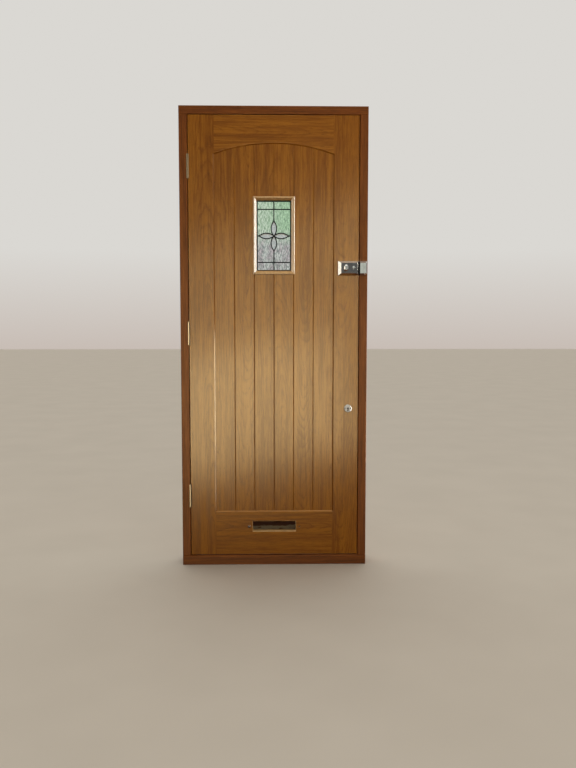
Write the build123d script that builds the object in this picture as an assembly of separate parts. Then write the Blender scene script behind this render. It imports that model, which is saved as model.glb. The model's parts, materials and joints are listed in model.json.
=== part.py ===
from build123d import *
import math
import os
from typing import NamedTuple

# Framed and boarded front door, hung in its hardwood frame with planted stops, opening inwards.
# Millimetres. X runs across the door, +Y points outdoors, Z points up.
# The origin lies on the underside of the sill, below the middle of the leaf's thickness.


class ScrewSize(NamedTuple):
    """Sizes of a countersunk wood screw."""

    head_radius: float
    head_depth: float
    shank_radius: float
    length: float
    tip: float


# Leaf
leaf_width = 762.0
leaf_height = 1981.0
leaf_thickness = 44.0
edge_gap = 3.0
threshold_gap = 4.0

# Frame
jamb_face = 37.0
stop_width = 13.0
stop_depth = 45.0
seal_space = 2.0
frame_depth = 95.0
frame_arris = 2.0
jamb_tenon_thickness = 14.0
jamb_tenon_length = 19.0
jamb_tenon_shoulder = 8.0
foot_tenon_length = 22.0
jamb_fixing_radius = 4.25
jamb_fixing_setback = 7.0
jamb_fixing_ends = 260.0
jamb_fixing_pair = 450.0

# Sill
sill_height = 45.0
sill_depth = 145.0
weathering_angle = 8.0
sill_arris = 4.0
drip_width = 6.0
drip_depth = 5.0
drip_inset = 15.0

# Weather seal, a small bulb on a barb
seal_setback = 6.0
seal_bulb_width = 7.0
seal_bulb_shoulder = 1.0
seal_barb_width = 2.6
seal_barb_length = 6.5
seal_kerf_depth = 7.0
seal_clearance = 0.3

# Stiles, rails and boards
stile_width = 115.0
top_rail_depth = 124.0
arch_rise = 47.0
bottom_rail_depth = 203.0
rail_tenon_thickness = 14.0
rail_tenon_length = 62.0
rail_tenon_margin = 28.0
mortise_end_gap = 2.0
board_count = 6
board_recess = 4.5
vee_depth = 1.5
tongue_thickness = 12.0
tongue_length = 10.0
tongue_end_gap = 1.5

# Leaded light and its bolection beads
light_drop = 403.0
light_board_strip = 5.5
sight_height = 312.0
bead_width = 16.0
bead_flat = 6.0
bead_proud = 9.0
bead_sink = 2.0
bead_arris = 2.0
bead_cover = 6.0
bead_clearance = 0.5
panel_clearance = 2.0
panel_thickness = 6.0
came_width = 4.5
border_came_width = 8.5
came_flange = 1.3
came_heart = 1.6
glass_thickness = 3.2
glass_clearance = 0.15
crossbar_rise = 118.0
petal_stem = 15.5
petal_width = 24.5
petal_bevel = 4.0
petal_crown = 2.8

# Butt hinges
hinge_length = 102.0
hinge_flap_width = 32.0
hinge_plate = 2.5
hinge_leaf_gap = 1.0
hinge_knuckles = 5
knuckle_radius = 5.5
knuckle_gap = 0.4
knuckle_clearance = 0.3
hinge_pin_radius = 3.0
hinge_pin_clearance = 0.05
hinge_pin_cap = 3.0
hinge_pin_head_radius = 4.5
hinge_pin_head_rim = 1.5
hinge_pin_crown_radius = 2.2
top_hinge_drop = 173.0
bottom_hinge_rise = 225.0
hinge_screw_near = 10.0
hinge_screw_far = 22.0
hinge_screw_inner = 14.0
hinge_screw_outer = 38.0
hinge_screw = ScrewSize(head_radius=4.2, head_depth=2.3, shank_radius=2.0, length=30.0, tip=4.0)

# Rim night latch
latch_height = 1308.0
latch_backset = 60.0
housing_length = 94.0
housing_height = 64.0
housing_depth = 28.0
housing_side = 16.0
housing_bevel = 13.0
housing_edge_bevel = 9.0
housing_roll = 16.0
housing_wall = 3.0
panel_recess = 1.5
panel_recess_height = 37.0
panel_recess_margin = 6.0
panel_recess_corner = 4.0
backplate_thickness = 2.5
backplate_clearance = 0.5
backplate_tab_width = 16.0
backplate_tab_height = 9.0
backplate_tab_thickness = 2.0
backplate_tab_offset = 12.0
latch_bolt_height = 20.0
latch_bolt_thickness = 14.0
latch_bolt_centre = 13.0
latch_bolt_length = 38.0
latch_bolt_setback = 0.5
latch_bolt_nose = 3.0
latch_bolt_bevel = 13.0
latch_throw = 15.0
latch_clearance = 0.4
latch_tail_thickness = 4.0
latch_tail_height = 24.0
latch_tail_margin = 3.0
follower_radius = 7.0
follower_arm = 20.0
follower_arm_width = 8.0
follower_arm_thickness = 5.0
follower_peg_radius = 2.5
follower_slot_clearance = 0.3
follower_pocket_radius = 4.2
follower_pocket_depth = 4.0
follower_rear = 9.0
spindle_radius = 4.0
knob_height = 28.0
knob_width = 19.0
knob_neck_radius = 6.5
knob_neck_length = 4.0
knob_length = 22.0
knob_back_bevel = 3.0
knob_bevel_width = 4.5
knob_bevel_depth = 4.0
knob_dish = 1.5
knob_dish_radius = 4.0
snib_setback = 26.0
snib_travel = 6.0
snib_radius = 6.0
snib_height = 5.0
snib_arris = 1.0
snib_stem_radius = 2.6
snib_plate_thickness = 1.5
snib_plate_width = 14.0
snib_plate_length = 22.0
snib_clearance = 0.2
spring_radius = 3.6
spring_wire = 1.0
spring_rise = 17.0
latch_screw = ScrewSize(head_radius=4.0, head_depth=2.2, shank_radius=2.0, length=28.0, tip=4.0)
latch_screw_inset = 11.0
housing_screw = ScrewSize(head_radius=3.4, head_depth=1.8, shank_radius=2.0, length=6.0, tip=0.0)

# Staple of the night latch
staple_width = 30.0
staple_wall = 3.0
staple_gap = 4.0
staple_lip_depth = 18.0
staple_lip_thickness = 1.5
staple_side_bevel = 4.0
staple_screw_rise = 20.0
staple_back_screw_inset = 10.5
staple_screw = ScrewSize(head_radius=3.8, head_depth=1.4, shank_radius=2.0, length=26.0, tip=4.0)

# Rim cylinder of the night latch
cylinder_radius = 15.5
cylinder_length = 32.0
cylinder_proud = 7.0
cylinder_hole_clearance = 0.5
cylinder_ring_radius = 21.0
cylinder_ring_height = 8.0
cylinder_ring_bevel = 3.0
plug_radius = 6.5
plug_clearance = 0.05
plug_proud = 0.6
keyway_width = 2.2
keyway_height = 8.5
keyway_depth = 22.0
tailbar_width = 7.0
tailbar_thickness = 1.6
tailbar_entry = 3.0
cylinder_screw_radius = 2.4
cylinder_screw_spacing = 22.0
cylinder_screw_grip = 10.0
cylinder_screw_head_radius = 4.2
cylinder_screw_head_height = 2.4

# Mortice deadlock
deadlock_height = 690.0
deadlock_backset = 45.0
keyhole_drop = 15.0
lock_case_depth = 62.0
lock_case_height = 76.0
lock_case_thickness = 16.0
lock_case_wall = 2.0
forend_width = 22.0
forend_length = 110.0
forend_thickness = 4.0
forend_screw_spacing = 96.0
deadbolt_height = 28.0
deadbolt_rise = 6.0
deadbolt_thickness = 11.4
deadbolt_length = 40.0
deadbolt_throw = 14.0
deadbolt_tail = 14.0
deadbolt_tail_height = 12.0
deadbolt_tail_thickness = 5.6
deadbolt_clearance = 0.3
forend_screw = ScrewSize(head_radius=3.8, head_depth=2.0, shank_radius=1.9, length=24.0, tip=4.0)

# Keep of the deadlock
keep_thickness = 3.0
keep_end_gap = 6.5
keep_box_wall = 1.5
keep_clearance = 1.5

# Keyhole plates
escutcheon_radius = 17.5
escutcheon_thickness = 3.0
escutcheon_bevel = 1.5
keyhole_radius = 4.5
keyhole_slot_width = 5.0
keyhole_slot_drop = 12.5
escutcheon_screw_spacing = 25.0
escutcheon_screw = ScrewSize(head_radius=2.2, head_depth=1.2, shank_radius=1.1, length=12.0, tip=2.0)

# Letter plate and its flap
letter_height = 130.0
letter_slot_width = 200.0
letter_slot_height = 51.0
letter_plate_width = 254.0
letter_plate_height = 80.0
letter_plate_thickness = 4.0
letter_plate_bevel = 2.0
letter_aperture_width = 178.0
letter_aperture_height = 36.0
letter_aperture_corner = 4.0
letter_bolt_spacing = 231.0
letter_bolt_drop = 2.0
letter_bolt_radius = 2.8
letter_bolt_clearance = 0.4
letter_boss_radius = 5.0
letter_boss_length = 9.0
letter_nut_radius = 6.0
letter_nut_height = 4.0
letter_nut_skirt = 2.0
letter_nut_crown_radius = 3.0
letter_counterbore_radius = 4.6
letter_counterbore_depth = 6.0
flap_thickness = 3.0
flap_side_gap = 6.0
flap_end_gap = 2.0
flap_plate_gap = 0.4
flap_lip = 1.2
flap_lip_height = 4.0
flap_rod_radius = 1.5
flap_rod_drop = 5.0
flap_rod_set = 4.0
flap_eye_radius = 3.2
flap_eye_clearance = 0.05
flap_lug_thickness = 3.0
flap_lug_radius = 3.4
flap_spring_length = 18.0
flap_spring_wire = 0.8
flap_spring_clearance = 0.4
flap_spring_leg = 16.0

# Planes and levels that follow from the sizes above
inner_y = -leaf_thickness / 2
outer_y = leaf_thickness / 2
stop_y = outer_y + seal_space
frame_outer_y = inner_y + frame_depth
sill_outer_y = inner_y + sill_depth
leaf_bottom = sill_height + threshold_gap
leaf_top = leaf_bottom + leaf_height
leaf_x = leaf_width / 2
rebate_x = leaf_x + edge_gap
rebate_z = leaf_top + edge_gap
stop_x = rebate_x - stop_width
stop_z = rebate_z - stop_width
frame_x = rebate_x + jamb_face
nose_z = sill_height - (sill_outer_y - stop_y) * math.tan(math.radians(weathering_angle))

field_half = leaf_x - stile_width
field_bottom = leaf_bottom + bottom_rail_depth
crown_z = leaf_top - top_rail_depth
spring_z = crown_z - arch_rise
arch_radius = (field_half**2 + arch_rise**2) / (2 * arch_rise)
arch_centre_z = crown_z - arch_radius
board_face = leaf_thickness / 2 - board_recess
board_pitch = 2 * field_half / board_count

light_z = crown_z - light_drop
light_cut_x = board_pitch - light_board_strip
sight_half_x = light_cut_x - bead_cover
sight_half_z = sight_height / 2
light_cut_z = sight_half_z + bead_cover
panel_half_x = light_cut_x - panel_clearance
panel_half_z = light_cut_z - panel_clearance
petal_length = panel_half_x - petal_stem

hinge_axis_x = -(leaf_x + edge_gap / 2)
hinge_axis_y = inner_y - knuckle_radius
top_hinge_z = leaf_top - top_hinge_drop - hinge_length / 2
bottom_hinge_z = leaf_bottom + bottom_hinge_rise + hinge_length / 2
hinge_centres = {
    "top": top_hinge_z,
    "middle": (top_hinge_z + bottom_hinge_z) / 2,
    "bottom": bottom_hinge_z,
}

latch_z = leaf_bottom + latch_height
latch_x = leaf_x - latch_backset
snib_x = leaf_x - snib_setback
housing_front_y = inner_y - housing_depth
housing_inside_y = housing_front_y + housing_wall
follower_swing = math.asin(latch_throw / 2 / follower_arm)

lock_z = leaf_bottom + deadlock_height
key_x = leaf_x - deadlock_backset
key_z = lock_z - keyhole_drop
deadbolt_z = lock_z + deadbolt_rise
forend_x = leaf_x - forend_thickness
keep_box_depth = deadbolt_throw + keep_end_gap + keep_box_wall

slot_z = leaf_bottom + letter_height
slot_half_x = letter_slot_width / 2
slot_half_z = letter_slot_height / 2
letter_bolt_z = slot_z - letter_bolt_drop
flap_axis_y = outer_y - flap_rod_set
flap_axis_z = slot_z + slot_half_z - flap_rod_drop

overrun = 1.0


def block(x_low, x_high, y_low, y_high, z_low, z_high):
    """Box between two opposite corners."""
    middle = Pos((x_low + x_high) / 2, (y_low + y_high) / 2, (z_low + z_high) / 2)
    return middle * Box(x_high - x_low, y_high - y_low, z_high - z_low)


def rod(start, end, radius):
    """Round bar from one point to another."""
    start, end = Vector(*start), Vector(*end)
    along = end - start
    bar = Cylinder(radius, along.length, align=(Align.CENTER, Align.CENTER, Align.MIN))
    return Plane(origin=start, z_dir=along) * bar


def prism(points, plane, low, high):
    """Closed outline drawn on a plane and extruded along its normal from low to high."""
    outline = make_face(Polyline(*points, close=True))
    return extrude(plane.offset(low) * outline, high - low, dir=plane.z_dir)


def facing(y):
    """Upright plane at depth y: X to the right, Z upwards."""
    return Plane(origin=(0, y, 0), x_dir=(1, 0, 0), z_dir=(0, -1, 0))


def slab(sketch, y_low, y_high):
    """Sketch drawn in elevation and given a thickness in Y."""
    return extrude(facing(y_high) * sketch, y_high - y_low, dir=(0, -1, 0))


def turned(points, origin, direction):
    """Solid of revolution from (radius, distance) points, set along a direction."""
    outline = make_face(Polyline(*points, close=True))
    return Plane(origin=origin, z_dir=direction) * revolve(Plane.XZ * outline, Axis.Z)


def screw(head, direction, size):
    """Countersunk wood screw; head is the middle of its face."""
    points = [
        (0, 0),
        (size.head_radius, 0),
        (size.shank_radius, size.head_depth),
        (size.shank_radius, size.length - size.tip),
        (0, size.length),
    ]
    return turned(points, head, direction)


def keyhole(y_low, y_high):
    """Keyhole cutter: a round hole with a slot below it."""
    round_part = rod((key_x, y_low, key_z), (key_x, y_high, key_z), keyhole_radius)
    half = keyhole_slot_width / 2
    slot = block(key_x - half, key_x + half, y_low, y_high, key_z - keyhole_slot_drop, key_z)
    return round_part + slot


# Frame


def frame_profiles():
    """Inner and outer part of the frame's section, as (away from the leaf, depth) points."""
    cut = frame_arris
    inner_part = [
        (cut, inner_y),
        (jamb_face - cut, inner_y),
        (jamb_face, inner_y + cut),
        (jamb_face, stop_y),
        (0, stop_y),
        (0, inner_y + cut),
    ]
    outer_part = [
        (0, stop_y),
        (jamb_face, stop_y),
        (jamb_face, frame_outer_y - cut),
        (jamb_face - cut, frame_outer_y),
        (cut, frame_outer_y),
        (0, frame_outer_y - cut),
    ]
    return inner_part, outer_part


def stop_profile():
    """Section of a planted stop, as (away from the leaf, depth) points."""
    cut = frame_arris
    back_y = stop_y + stop_depth
    return [
        (0, stop_y),
        (0, back_y),
        (-stop_width + cut, back_y),
        (-stop_width, back_y - cut),
        (-stop_width, stop_y + cut),
        (-stop_width + cut, stop_y),
    ]


def kerf_profile():
    """Kerf in the stop that takes the seal's barb."""
    left = -seal_setback - seal_barb_width / 2
    right = -seal_setback + seal_barb_width / 2
    return [
        (left, stop_y - overrun),
        (right, stop_y - overrun),
        (right, stop_y + seal_kerf_depth),
        (left, stop_y + seal_kerf_depth),
    ]


def seal_profile():
    """Bulb and barb of the weather seal."""
    left = -seal_setback - seal_bulb_width / 2
    right = -seal_setback + seal_bulb_width / 2
    barb_left = -seal_setback - seal_barb_width / 2
    barb_right = -seal_setback + seal_barb_width / 2
    bulb_y = outer_y + seal_clearance
    return [
        (left, stop_y),
        (left + seal_bulb_shoulder, bulb_y),
        (right - seal_bulb_shoulder, bulb_y),
        (right, stop_y),
        (barb_right, stop_y),
        (barb_right, stop_y + seal_barb_length),
        (barb_left, stop_y + seal_barb_length),
        (barb_left, stop_y),
    ]


jamb_plane = Plane(origin=(rebate_x, 0, 0), x_dir=(1, 0, 0), z_dir=(0, 0, 1))
head_plane = Plane(origin=(0, 0, rebate_z), x_dir=(0, 0, 1), z_dir=(-1, 0, 0))


def sill_blank():
    """Sill before its mortises: weathered top, dripped underside."""
    cut = sill_arris
    points = [
        (inner_y, 0),
        (sill_outer_y, 0),
        (sill_outer_y, nose_z - cut),
        (sill_outer_y - cut, nose_z + cut * math.tan(math.radians(weathering_angle))),
        (stop_y, sill_height),
        (inner_y + cut, sill_height),
        (inner_y, sill_height - cut),
    ]
    bar = prism(points, Plane.YZ, -frame_x, frame_x)
    drip_y = sill_outer_y - drip_inset
    drip = block(-frame_x, frame_x, drip_y - drip_width, drip_y, 0, drip_depth)
    return bar - drip


def jamb_tenons():
    """Head tenon and foot tenon of the right-hand jamb."""
    middle_y = (stop_y + frame_outer_y) / 2
    y_low = middle_y - jamb_tenon_thickness / 2
    y_high = middle_y + jamb_tenon_thickness / 2
    x_high = frame_x - jamb_tenon_shoulder
    head = block(rebate_x, x_high, y_low, y_high, rebate_z, rebate_z + jamb_tenon_length)
    foot = block(rebate_x, x_high, y_low, y_high, sill_height - foot_tenon_length, sill_height)
    return head, foot


def both_sides(shape):
    """The shape and its mirror image across the middle of the door."""
    return [shape, mirror(shape, about=Plane.YZ)]


def jamb_blank():
    """Right-hand jamb before the ironmongery is let in."""
    inner_part, outer_part = frame_profiles()
    head_tenon, foot_tenon = jamb_tenons()
    blank = prism(inner_part, jamb_plane, sill_height, rebate_z)
    blank += prism(outer_part, jamb_plane, 0, rebate_z)
    blank -= sill_blank()
    return blank + head_tenon + foot_tenon


def jamb_fixings():
    """Holes through the right-hand jamb for the fixings into the wall, two pairs."""
    holes = []
    y = stop_y - jamb_fixing_setback
    for z in jamb_fixing_heights():
        start = (rebate_x - overrun, y, z)
        end = (frame_x + overrun, y, z)
        holes.append(rod(start, end, jamb_fixing_radius))
    return holes


def jamb_fixing_heights():
    """Heights of the four fixings in each jamb."""
    low = sill_height + jamb_fixing_ends
    high = rebate_z - jamb_fixing_ends
    return [low, low + jamb_fixing_pair, high - jamb_fixing_pair, high]


def build_sill():
    """Sill with its mortises."""
    foot = jamb_tenons()[1]
    return sill_blank() - both_sides(foot)


def build_head():
    """Head of the frame with the mortises of the jambs."""
    inner_part, outer_part = frame_profiles()
    head = prism(inner_part, head_plane, -frame_x, frame_x)
    head += prism(outer_part, head_plane, -frame_x, frame_x)
    return head - both_sides(jamb_tenons()[0])


def build_frame_stops():
    """Planted stops, kerfed for the seal: hinge side, lock side and head."""
    side = prism(stop_profile(), jamb_plane, 0, stop_z) - sill_blank()
    side -= prism(kerf_profile(), jamb_plane, 0, stop_z)
    head = prism(stop_profile(), head_plane, -rebate_x, rebate_x)
    head -= prism(kerf_profile(), head_plane, -rebate_x, rebate_x)
    return both_sides(side) + [head]


def build_hinge_jamb():
    """Left-hand jamb with the hinges let in."""
    jamb = mirror(jamb_blank() - jamb_fixings(), about=Plane.YZ)
    sinkings = [hinge_sinking(z, -1) for z in hinge_centres.values()]
    return jamb - sinkings - hinge_screws(-1)


def build_lock_jamb():
    """Right-hand jamb with the staple and the keep let in."""
    jamb = jamb_blank() - jamb_fixings()
    jamb -= staple_lip()
    jamb -= keep_form()
    return jamb - staple_screws() - keep_screws()


def build_weather_seals():
    """Three lengths of seal: head, hinge side and lock side."""
    side = prism(seal_profile(), jamb_plane, sill_height, stop_z)
    head = prism(seal_profile(), head_plane, -stop_x, stop_x)
    return both_sides(side) + [head]


# Hinges


def hinge_flap_x(side):
    """Low and high X of a hinge plate: side is -1 on the jamb, +1 on the leaf."""
    near = hinge_axis_x + side * hinge_leaf_gap / 2
    far = near + side * hinge_plate
    return min(near, far), max(near, far)


def hinge_sinking(centre_z, side):
    """Recess for a hinge plate in the jamb or in the edge of the leaf."""
    x_low, x_high = hinge_flap_x(side)
    half = hinge_length / 2
    y_high = inner_y + hinge_flap_width
    return block(x_low, x_high, inner_y - overrun, y_high, centre_z - half, centre_z + half)


def knuckle_spans(centre_z, side):
    """Height spans of the knuckles on one side of a hinge."""
    pitch = hinge_length / hinge_knuckles
    first = 0 if side < 0 else 1
    base = centre_z - hinge_length / 2
    spans = []
    for index in range(first, hinge_knuckles, 2):
        low = base + index * pitch + (knuckle_gap / 2 if index > 0 else 0)
        high = base + (index + 1) * pitch - (knuckle_gap / 2 if index < hinge_knuckles - 1 else 0)
        spans.append((low, high))
    return spans


def hinge_screw_points(centre_z):
    """Depth and height of the four screws in a hinge plate, staggered."""
    points = []
    for sign in (-1, 1):
        points.append((inner_y + hinge_screw_near, centre_z + sign * hinge_screw_inner))
        points.append((inner_y + hinge_screw_far, centre_z + sign * hinge_screw_outer))
    return points


def hinge_screws(side):
    """All the screws of the hinges on the jamb side or on the leaf side."""
    face_x = hinge_axis_x + side * hinge_leaf_gap / 2
    screws = []
    for centre_z in hinge_centres.values():
        for y, z in hinge_screw_points(centre_z):
            screws.append(screw((face_x, y, z), (side, 0, 0), hinge_screw))
    return screws


def build_hinge_flap(centre_z, side):
    """Hinge plate with its knuckles rolled round the pin."""
    x_low, x_high = hinge_flap_x(side)
    half = hinge_length / 2
    y_near = inner_y + knuckle_clearance
    y_far = inner_y + hinge_flap_width
    flap = block(x_low, x_high, y_near, y_far, centre_z - half, centre_z + half)
    bore = hinge_pin_radius + (hinge_pin_clearance if side > 0 else 0)
    for z_low, z_high in knuckle_spans(centre_z, side):
        bottom = (hinge_axis_x, hinge_axis_y, z_low)
        top = (hinge_axis_x, hinge_axis_y, z_high)
        web = block(x_low, x_high, hinge_axis_y, y_near, z_low, z_high)
        flap += web + rod(bottom, top, knuckle_radius)
        flap -= rod(bottom, top, bore)
    return flap - hinge_screws(side)


def build_hinge_pin(centre_z):
    """Pin with a button head above and below the knuckles."""
    half = hinge_length / 2
    end = half + hinge_pin_cap
    rim = half + hinge_pin_head_rim
    points = [
        (0, -end),
        (hinge_pin_crown_radius, -end),
        (hinge_pin_head_radius, -rim),
        (hinge_pin_head_radius, -half),
        (hinge_pin_radius, -half),
        (hinge_pin_radius, half),
        (hinge_pin_head_radius, half),
        (hinge_pin_head_radius, rim),
        (hinge_pin_crown_radius, end),
        (0, end),
    ]
    return turned(points, (hinge_axis_x, hinge_axis_y, centre_z), (0, 0, 1))


# Stiles, rails and boards


def field_outline(grow):
    """Outline of the boarded field with its arched top, spread outwards by grow."""
    half = field_half + grow
    base = field_bottom - grow
    radius = arch_radius + grow
    spring = arch_centre_z + math.sqrt(radius**2 - half**2)
    sides = Polyline((-half, spring), (-half, base), (half, base), (half, spring))
    arch = ThreePointArc((half, spring), (0, arch_centre_z + radius), (-half, spring))
    return make_face(sides.edges() + arch.edges())


def field_cutter():
    """Everything that the boarded field takes out of the stiles and rails."""
    half_tongue = tongue_thickness / 2
    cutter = slab(field_outline(0), inner_y - overrun, outer_y + overrun)
    groove = slab(field_outline(tongue_length + tongue_end_gap), -half_tongue, half_tongue)
    chamfer = loft(
        [
            facing(-board_face) * field_outline(0),
            facing(inner_y - overrun) * field_outline(board_recess + overrun),
        ],
        ruled=True,
    )
    return [cutter, groove, chamfer, mirror(chamfer, about=Plane.XZ)]


def rail_tenon(z_low, z_high, extra):
    """Right-hand tenon of a rail, or its mortise with some extra depth."""
    half = rail_tenon_thickness / 2
    return block(field_half, field_half + rail_tenon_length + extra, -half, half, z_low, z_high)


def tenon_levels():
    """Lower and upper edge of the tenons of the bottom rail and of the top rail."""
    bottom = (leaf_bottom + rail_tenon_margin, field_bottom - rail_tenon_margin)
    top = (spring_z + rail_tenon_margin, leaf_top - rail_tenon_margin)
    return bottom, top


def stile_blank():
    """Right-hand stile, grooved, chamfered and mortised."""
    stile = block(field_half, leaf_x, inner_y, outer_y, leaf_bottom, leaf_top)
    stile -= field_cutter()
    for z_low, z_high in tenon_levels():
        stile -= rail_tenon(z_low, z_high, mortise_end_gap)
    return stile


def build_hinge_stile():
    """Left-hand stile with the hinges let in."""
    stile = mirror(stile_blank(), about=Plane.YZ)
    sinkings = [hinge_sinking(z, 1) for z in hinge_centres.values()]
    return stile - sinkings - hinge_screws(1)


def build_lock_stile():
    """Right-hand stile, bored for the cylinder and morticed for the deadlock."""
    hole_radius = cylinder_radius + cylinder_hole_clearance
    start = (latch_x, inner_y - overrun, latch_z)
    end = (latch_x, outer_y + overrun, latch_z)
    stile = stile_blank()
    stile -= rod(start, end, hole_radius)
    stile -= [lock_case_block(), forend_block(), keyhole(inner_y - overrun, outer_y + overrun)]
    return stile - latch_screws() - forend_screws() - escutcheon_screws()


def build_top_rail():
    """Top rail with its underside cut to the arch."""
    z_low, z_high = tenon_levels()[1]
    rail = block(-field_half, field_half, inner_y, outer_y, spring_z, leaf_top)
    rail -= field_cutter()
    for tenon in both_sides(rail_tenon(z_low, z_high, 0)):
        rail += tenon
    return rail


def build_bottom_rail():
    """Bottom rail with the slot and bolt holes of the letter plate."""
    z_low, z_high = tenon_levels()[0]
    rail = block(-field_half, field_half, inner_y, outer_y, leaf_bottom, field_bottom)
    rail -= field_cutter()
    for tenon in both_sides(rail_tenon(z_low, z_high, 0)):
        rail += tenon
    slot = block(
        -slot_half_x, slot_half_x, inner_y - overrun, outer_y + overrun,
        slot_z - slot_half_z, slot_z + slot_half_z,
    )
    return rail - slot - letter_bolt_holes()


def board_profile(index):
    """Plan outline of one board: tongue on the left, groove on the right, vee at each joint."""
    left = -field_half + index * board_pitch
    right = left + board_pitch
    half = board_face
    tongue = tongue_thickness / 2
    left_vee = vee_depth if index > 0 else 0
    right_vee = vee_depth if index < board_count - 1 else 0
    low_left = [(left, -half + left_vee), (left + left_vee, -half)]
    low_right = [(right - right_vee, -half), (right, -half + right_vee)]
    if index < board_count - 1:
        joint_x = right - tongue_length - tongue_end_gap
    else:
        joint_x = right + tongue_length
    joint = [(right, -tongue), (joint_x, -tongue), (joint_x, tongue), (right, tongue)]
    tail = left - tongue_length
    left_tongue = [(left, tongue), (tail, tongue), (tail, -tongue), (left, -tongue)]
    high_right = [(right, half - right_vee), (right - right_vee, half)]
    high_left = [(left + left_vee, half), (left, half - left_vee)]
    outline = low_left + low_right + joint + high_right + high_left + left_tongue
    points = []
    for point in outline:
        if not points or point != points[-1]:
            points.append(point)
    return points


def board_space():
    """Space that the boards fill: the field itself, and tongues all round it."""
    half_tongue = tongue_thickness / 2
    body = slab(field_outline(0), -board_face, board_face)
    tongues = slab(field_outline(tongue_length), -half_tongue, half_tongue)
    return body + tongues


def build_boards():
    """The boards from the hinge side to the lock side."""
    space = board_space()
    light = block(
        -light_cut_x, light_cut_x, inner_y, outer_y,
        light_z - light_cut_z, light_z + light_cut_z,
    )
    low = field_bottom - tongue_length - overrun
    high = crown_z + tongue_length + overrun
    boards = {}
    for index in range(board_count):
        board = prism(board_profile(index), Plane.XY, low, high) & space
        boards[f"board_{index + 1}"] = board - light
    return boards


# Leaded light


def bead_length(half_run, half_cross):
    """One mitred length of bead along X, above the middle of the light."""
    rise = bead_width - bead_flat
    face = -board_face
    section = [
        (-panel_thickness / 2, half_cross),
        (face + bead_sink, half_cross),
        (face - bead_proud, half_cross + rise),
        (face - bead_proud, half_cross + bead_width - bead_arris),
        (face - bead_proud + bead_arris, half_cross + bead_width),
        (face, half_cross + bead_width),
        (face, half_cross + bead_cover - bead_clearance),
        (-panel_thickness / 2, half_cross + bead_cover - bead_clearance),
    ]
    reach = half_run + 2 * bead_width
    length = prism(section, Plane.YZ, -reach, reach)
    low, high = -overrun, bead_width + overrun
    mitre = make_face(
        Polyline(
            (-half_run - low, half_cross + low),
            (half_run + low, half_cross + low),
            (half_run + high, half_cross + high),
            (-half_run - high, half_cross + high),
            close=True,
        )
    )
    return length & slab(mitre, face - bead_proud - overrun, 0)


def build_glazing_beads():
    """Inner and outer sets of bolection beads, four mitred lengths each."""
    inner = []
    for turn in range(4):
        halves = (sight_half_x, sight_half_z) if turn % 2 == 0 else (sight_half_z, sight_half_x)
        length = Rot(0, 90 * turn, 0) * bead_length(*halves)
        inner.append(Pos(0, 0, light_z) * length)
    outer = [mirror(length, about=Plane.XZ) for length in inner]
    return inner, outer


def petal_outline(grow):
    """Pointed oval petal standing on the middle of the light, spread outwards by grow."""
    half_length = petal_length / 2
    half_width = petal_width / 2
    radius = (half_length**2 + half_width**2) / (2 * half_width)
    offset = radius - half_width
    left = Pos(-offset, half_length) * Circle(radius + grow)
    right = Pos(offset, half_length) * Circle(radius + grow)
    return left & right


def four_ways(sketch):
    """The sketch turned to all four quarters."""
    return [Rot(0, 0, 90 * turn) * sketch for turn in range(4)]


def came_lines(width, border):
    """Network of the leaded light with one width for the bars and one for the border."""
    lines = Rectangle(2 * panel_half_x, 2 * panel_half_z)
    lines -= Rectangle(2 * (panel_half_x - border), 2 * (panel_half_z - border))
    for rise in (-crossbar_rise, crossbar_rise):
        lines += Pos(0, rise) * Rectangle(2 * panel_half_x, width)
    stem_z = panel_half_z - petal_length + overrun
    stem_x = panel_half_x - petal_length + overrun
    for sign in (-1, 1):
        lines += Pos(0, sign * (panel_half_z - stem_z / 2)) * Rectangle(width, stem_z)
        lines += Pos(sign * (panel_half_x - stem_x / 2), 0) * Rectangle(stem_x, width)
    for petal in four_ways(petal_outline(width / 2)):
        lines += petal
    for petal in four_ways(petal_outline(-width / 2)):
        lines -= petal
    return lines


def build_lead_cames():
    """Cames as one soldered network of H section: two flanges joined by a heart."""
    half = panel_thickness / 2
    flanges = came_lines(came_width, border_came_width)
    heart = came_lines(came_heart, came_heart)
    network = slab(heart, -half + came_flange, half - came_flange)
    network += slab(flanges, -half, -half + came_flange)
    network += slab(flanges, half - came_flange, half)
    return Pos(0, 0, light_z) * network


def build_quarries():
    """Pieces of textured glass between the hearts of the cames."""
    cut = came_heart + 2 * glass_clearance
    sheet = Rectangle(2 * panel_half_x, 2 * panel_half_z)
    sheet -= came_lines(cut, came_heart + glass_clearance)
    for petal in four_ways(petal_outline(0)):
        sheet -= petal
    half = glass_thickness / 2
    return [Pos(0, 0, light_z) * slab(face, -half, half) for face in sheet.faces()]


def build_petals():
    """Four pointed oval glasses, bevelled on both faces."""
    half = glass_thickness / 2
    rim = petal_outline(-came_heart / 2 - glass_clearance)
    foot = petal_outline(-came_width / 2)
    crown = petal_outline(-came_width / 2 - petal_bevel)
    bevel = loft([facing(-half) * foot, facing(-petal_crown) * crown], ruled=True)
    petal = slab(rim, -half, half) + bevel + mirror(bevel, about=Plane.XZ)
    return [Pos(0, 0, light_z) * Rot(0, 90 * turn, 0) * petal for turn in range(4)]


# Night latch


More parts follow.
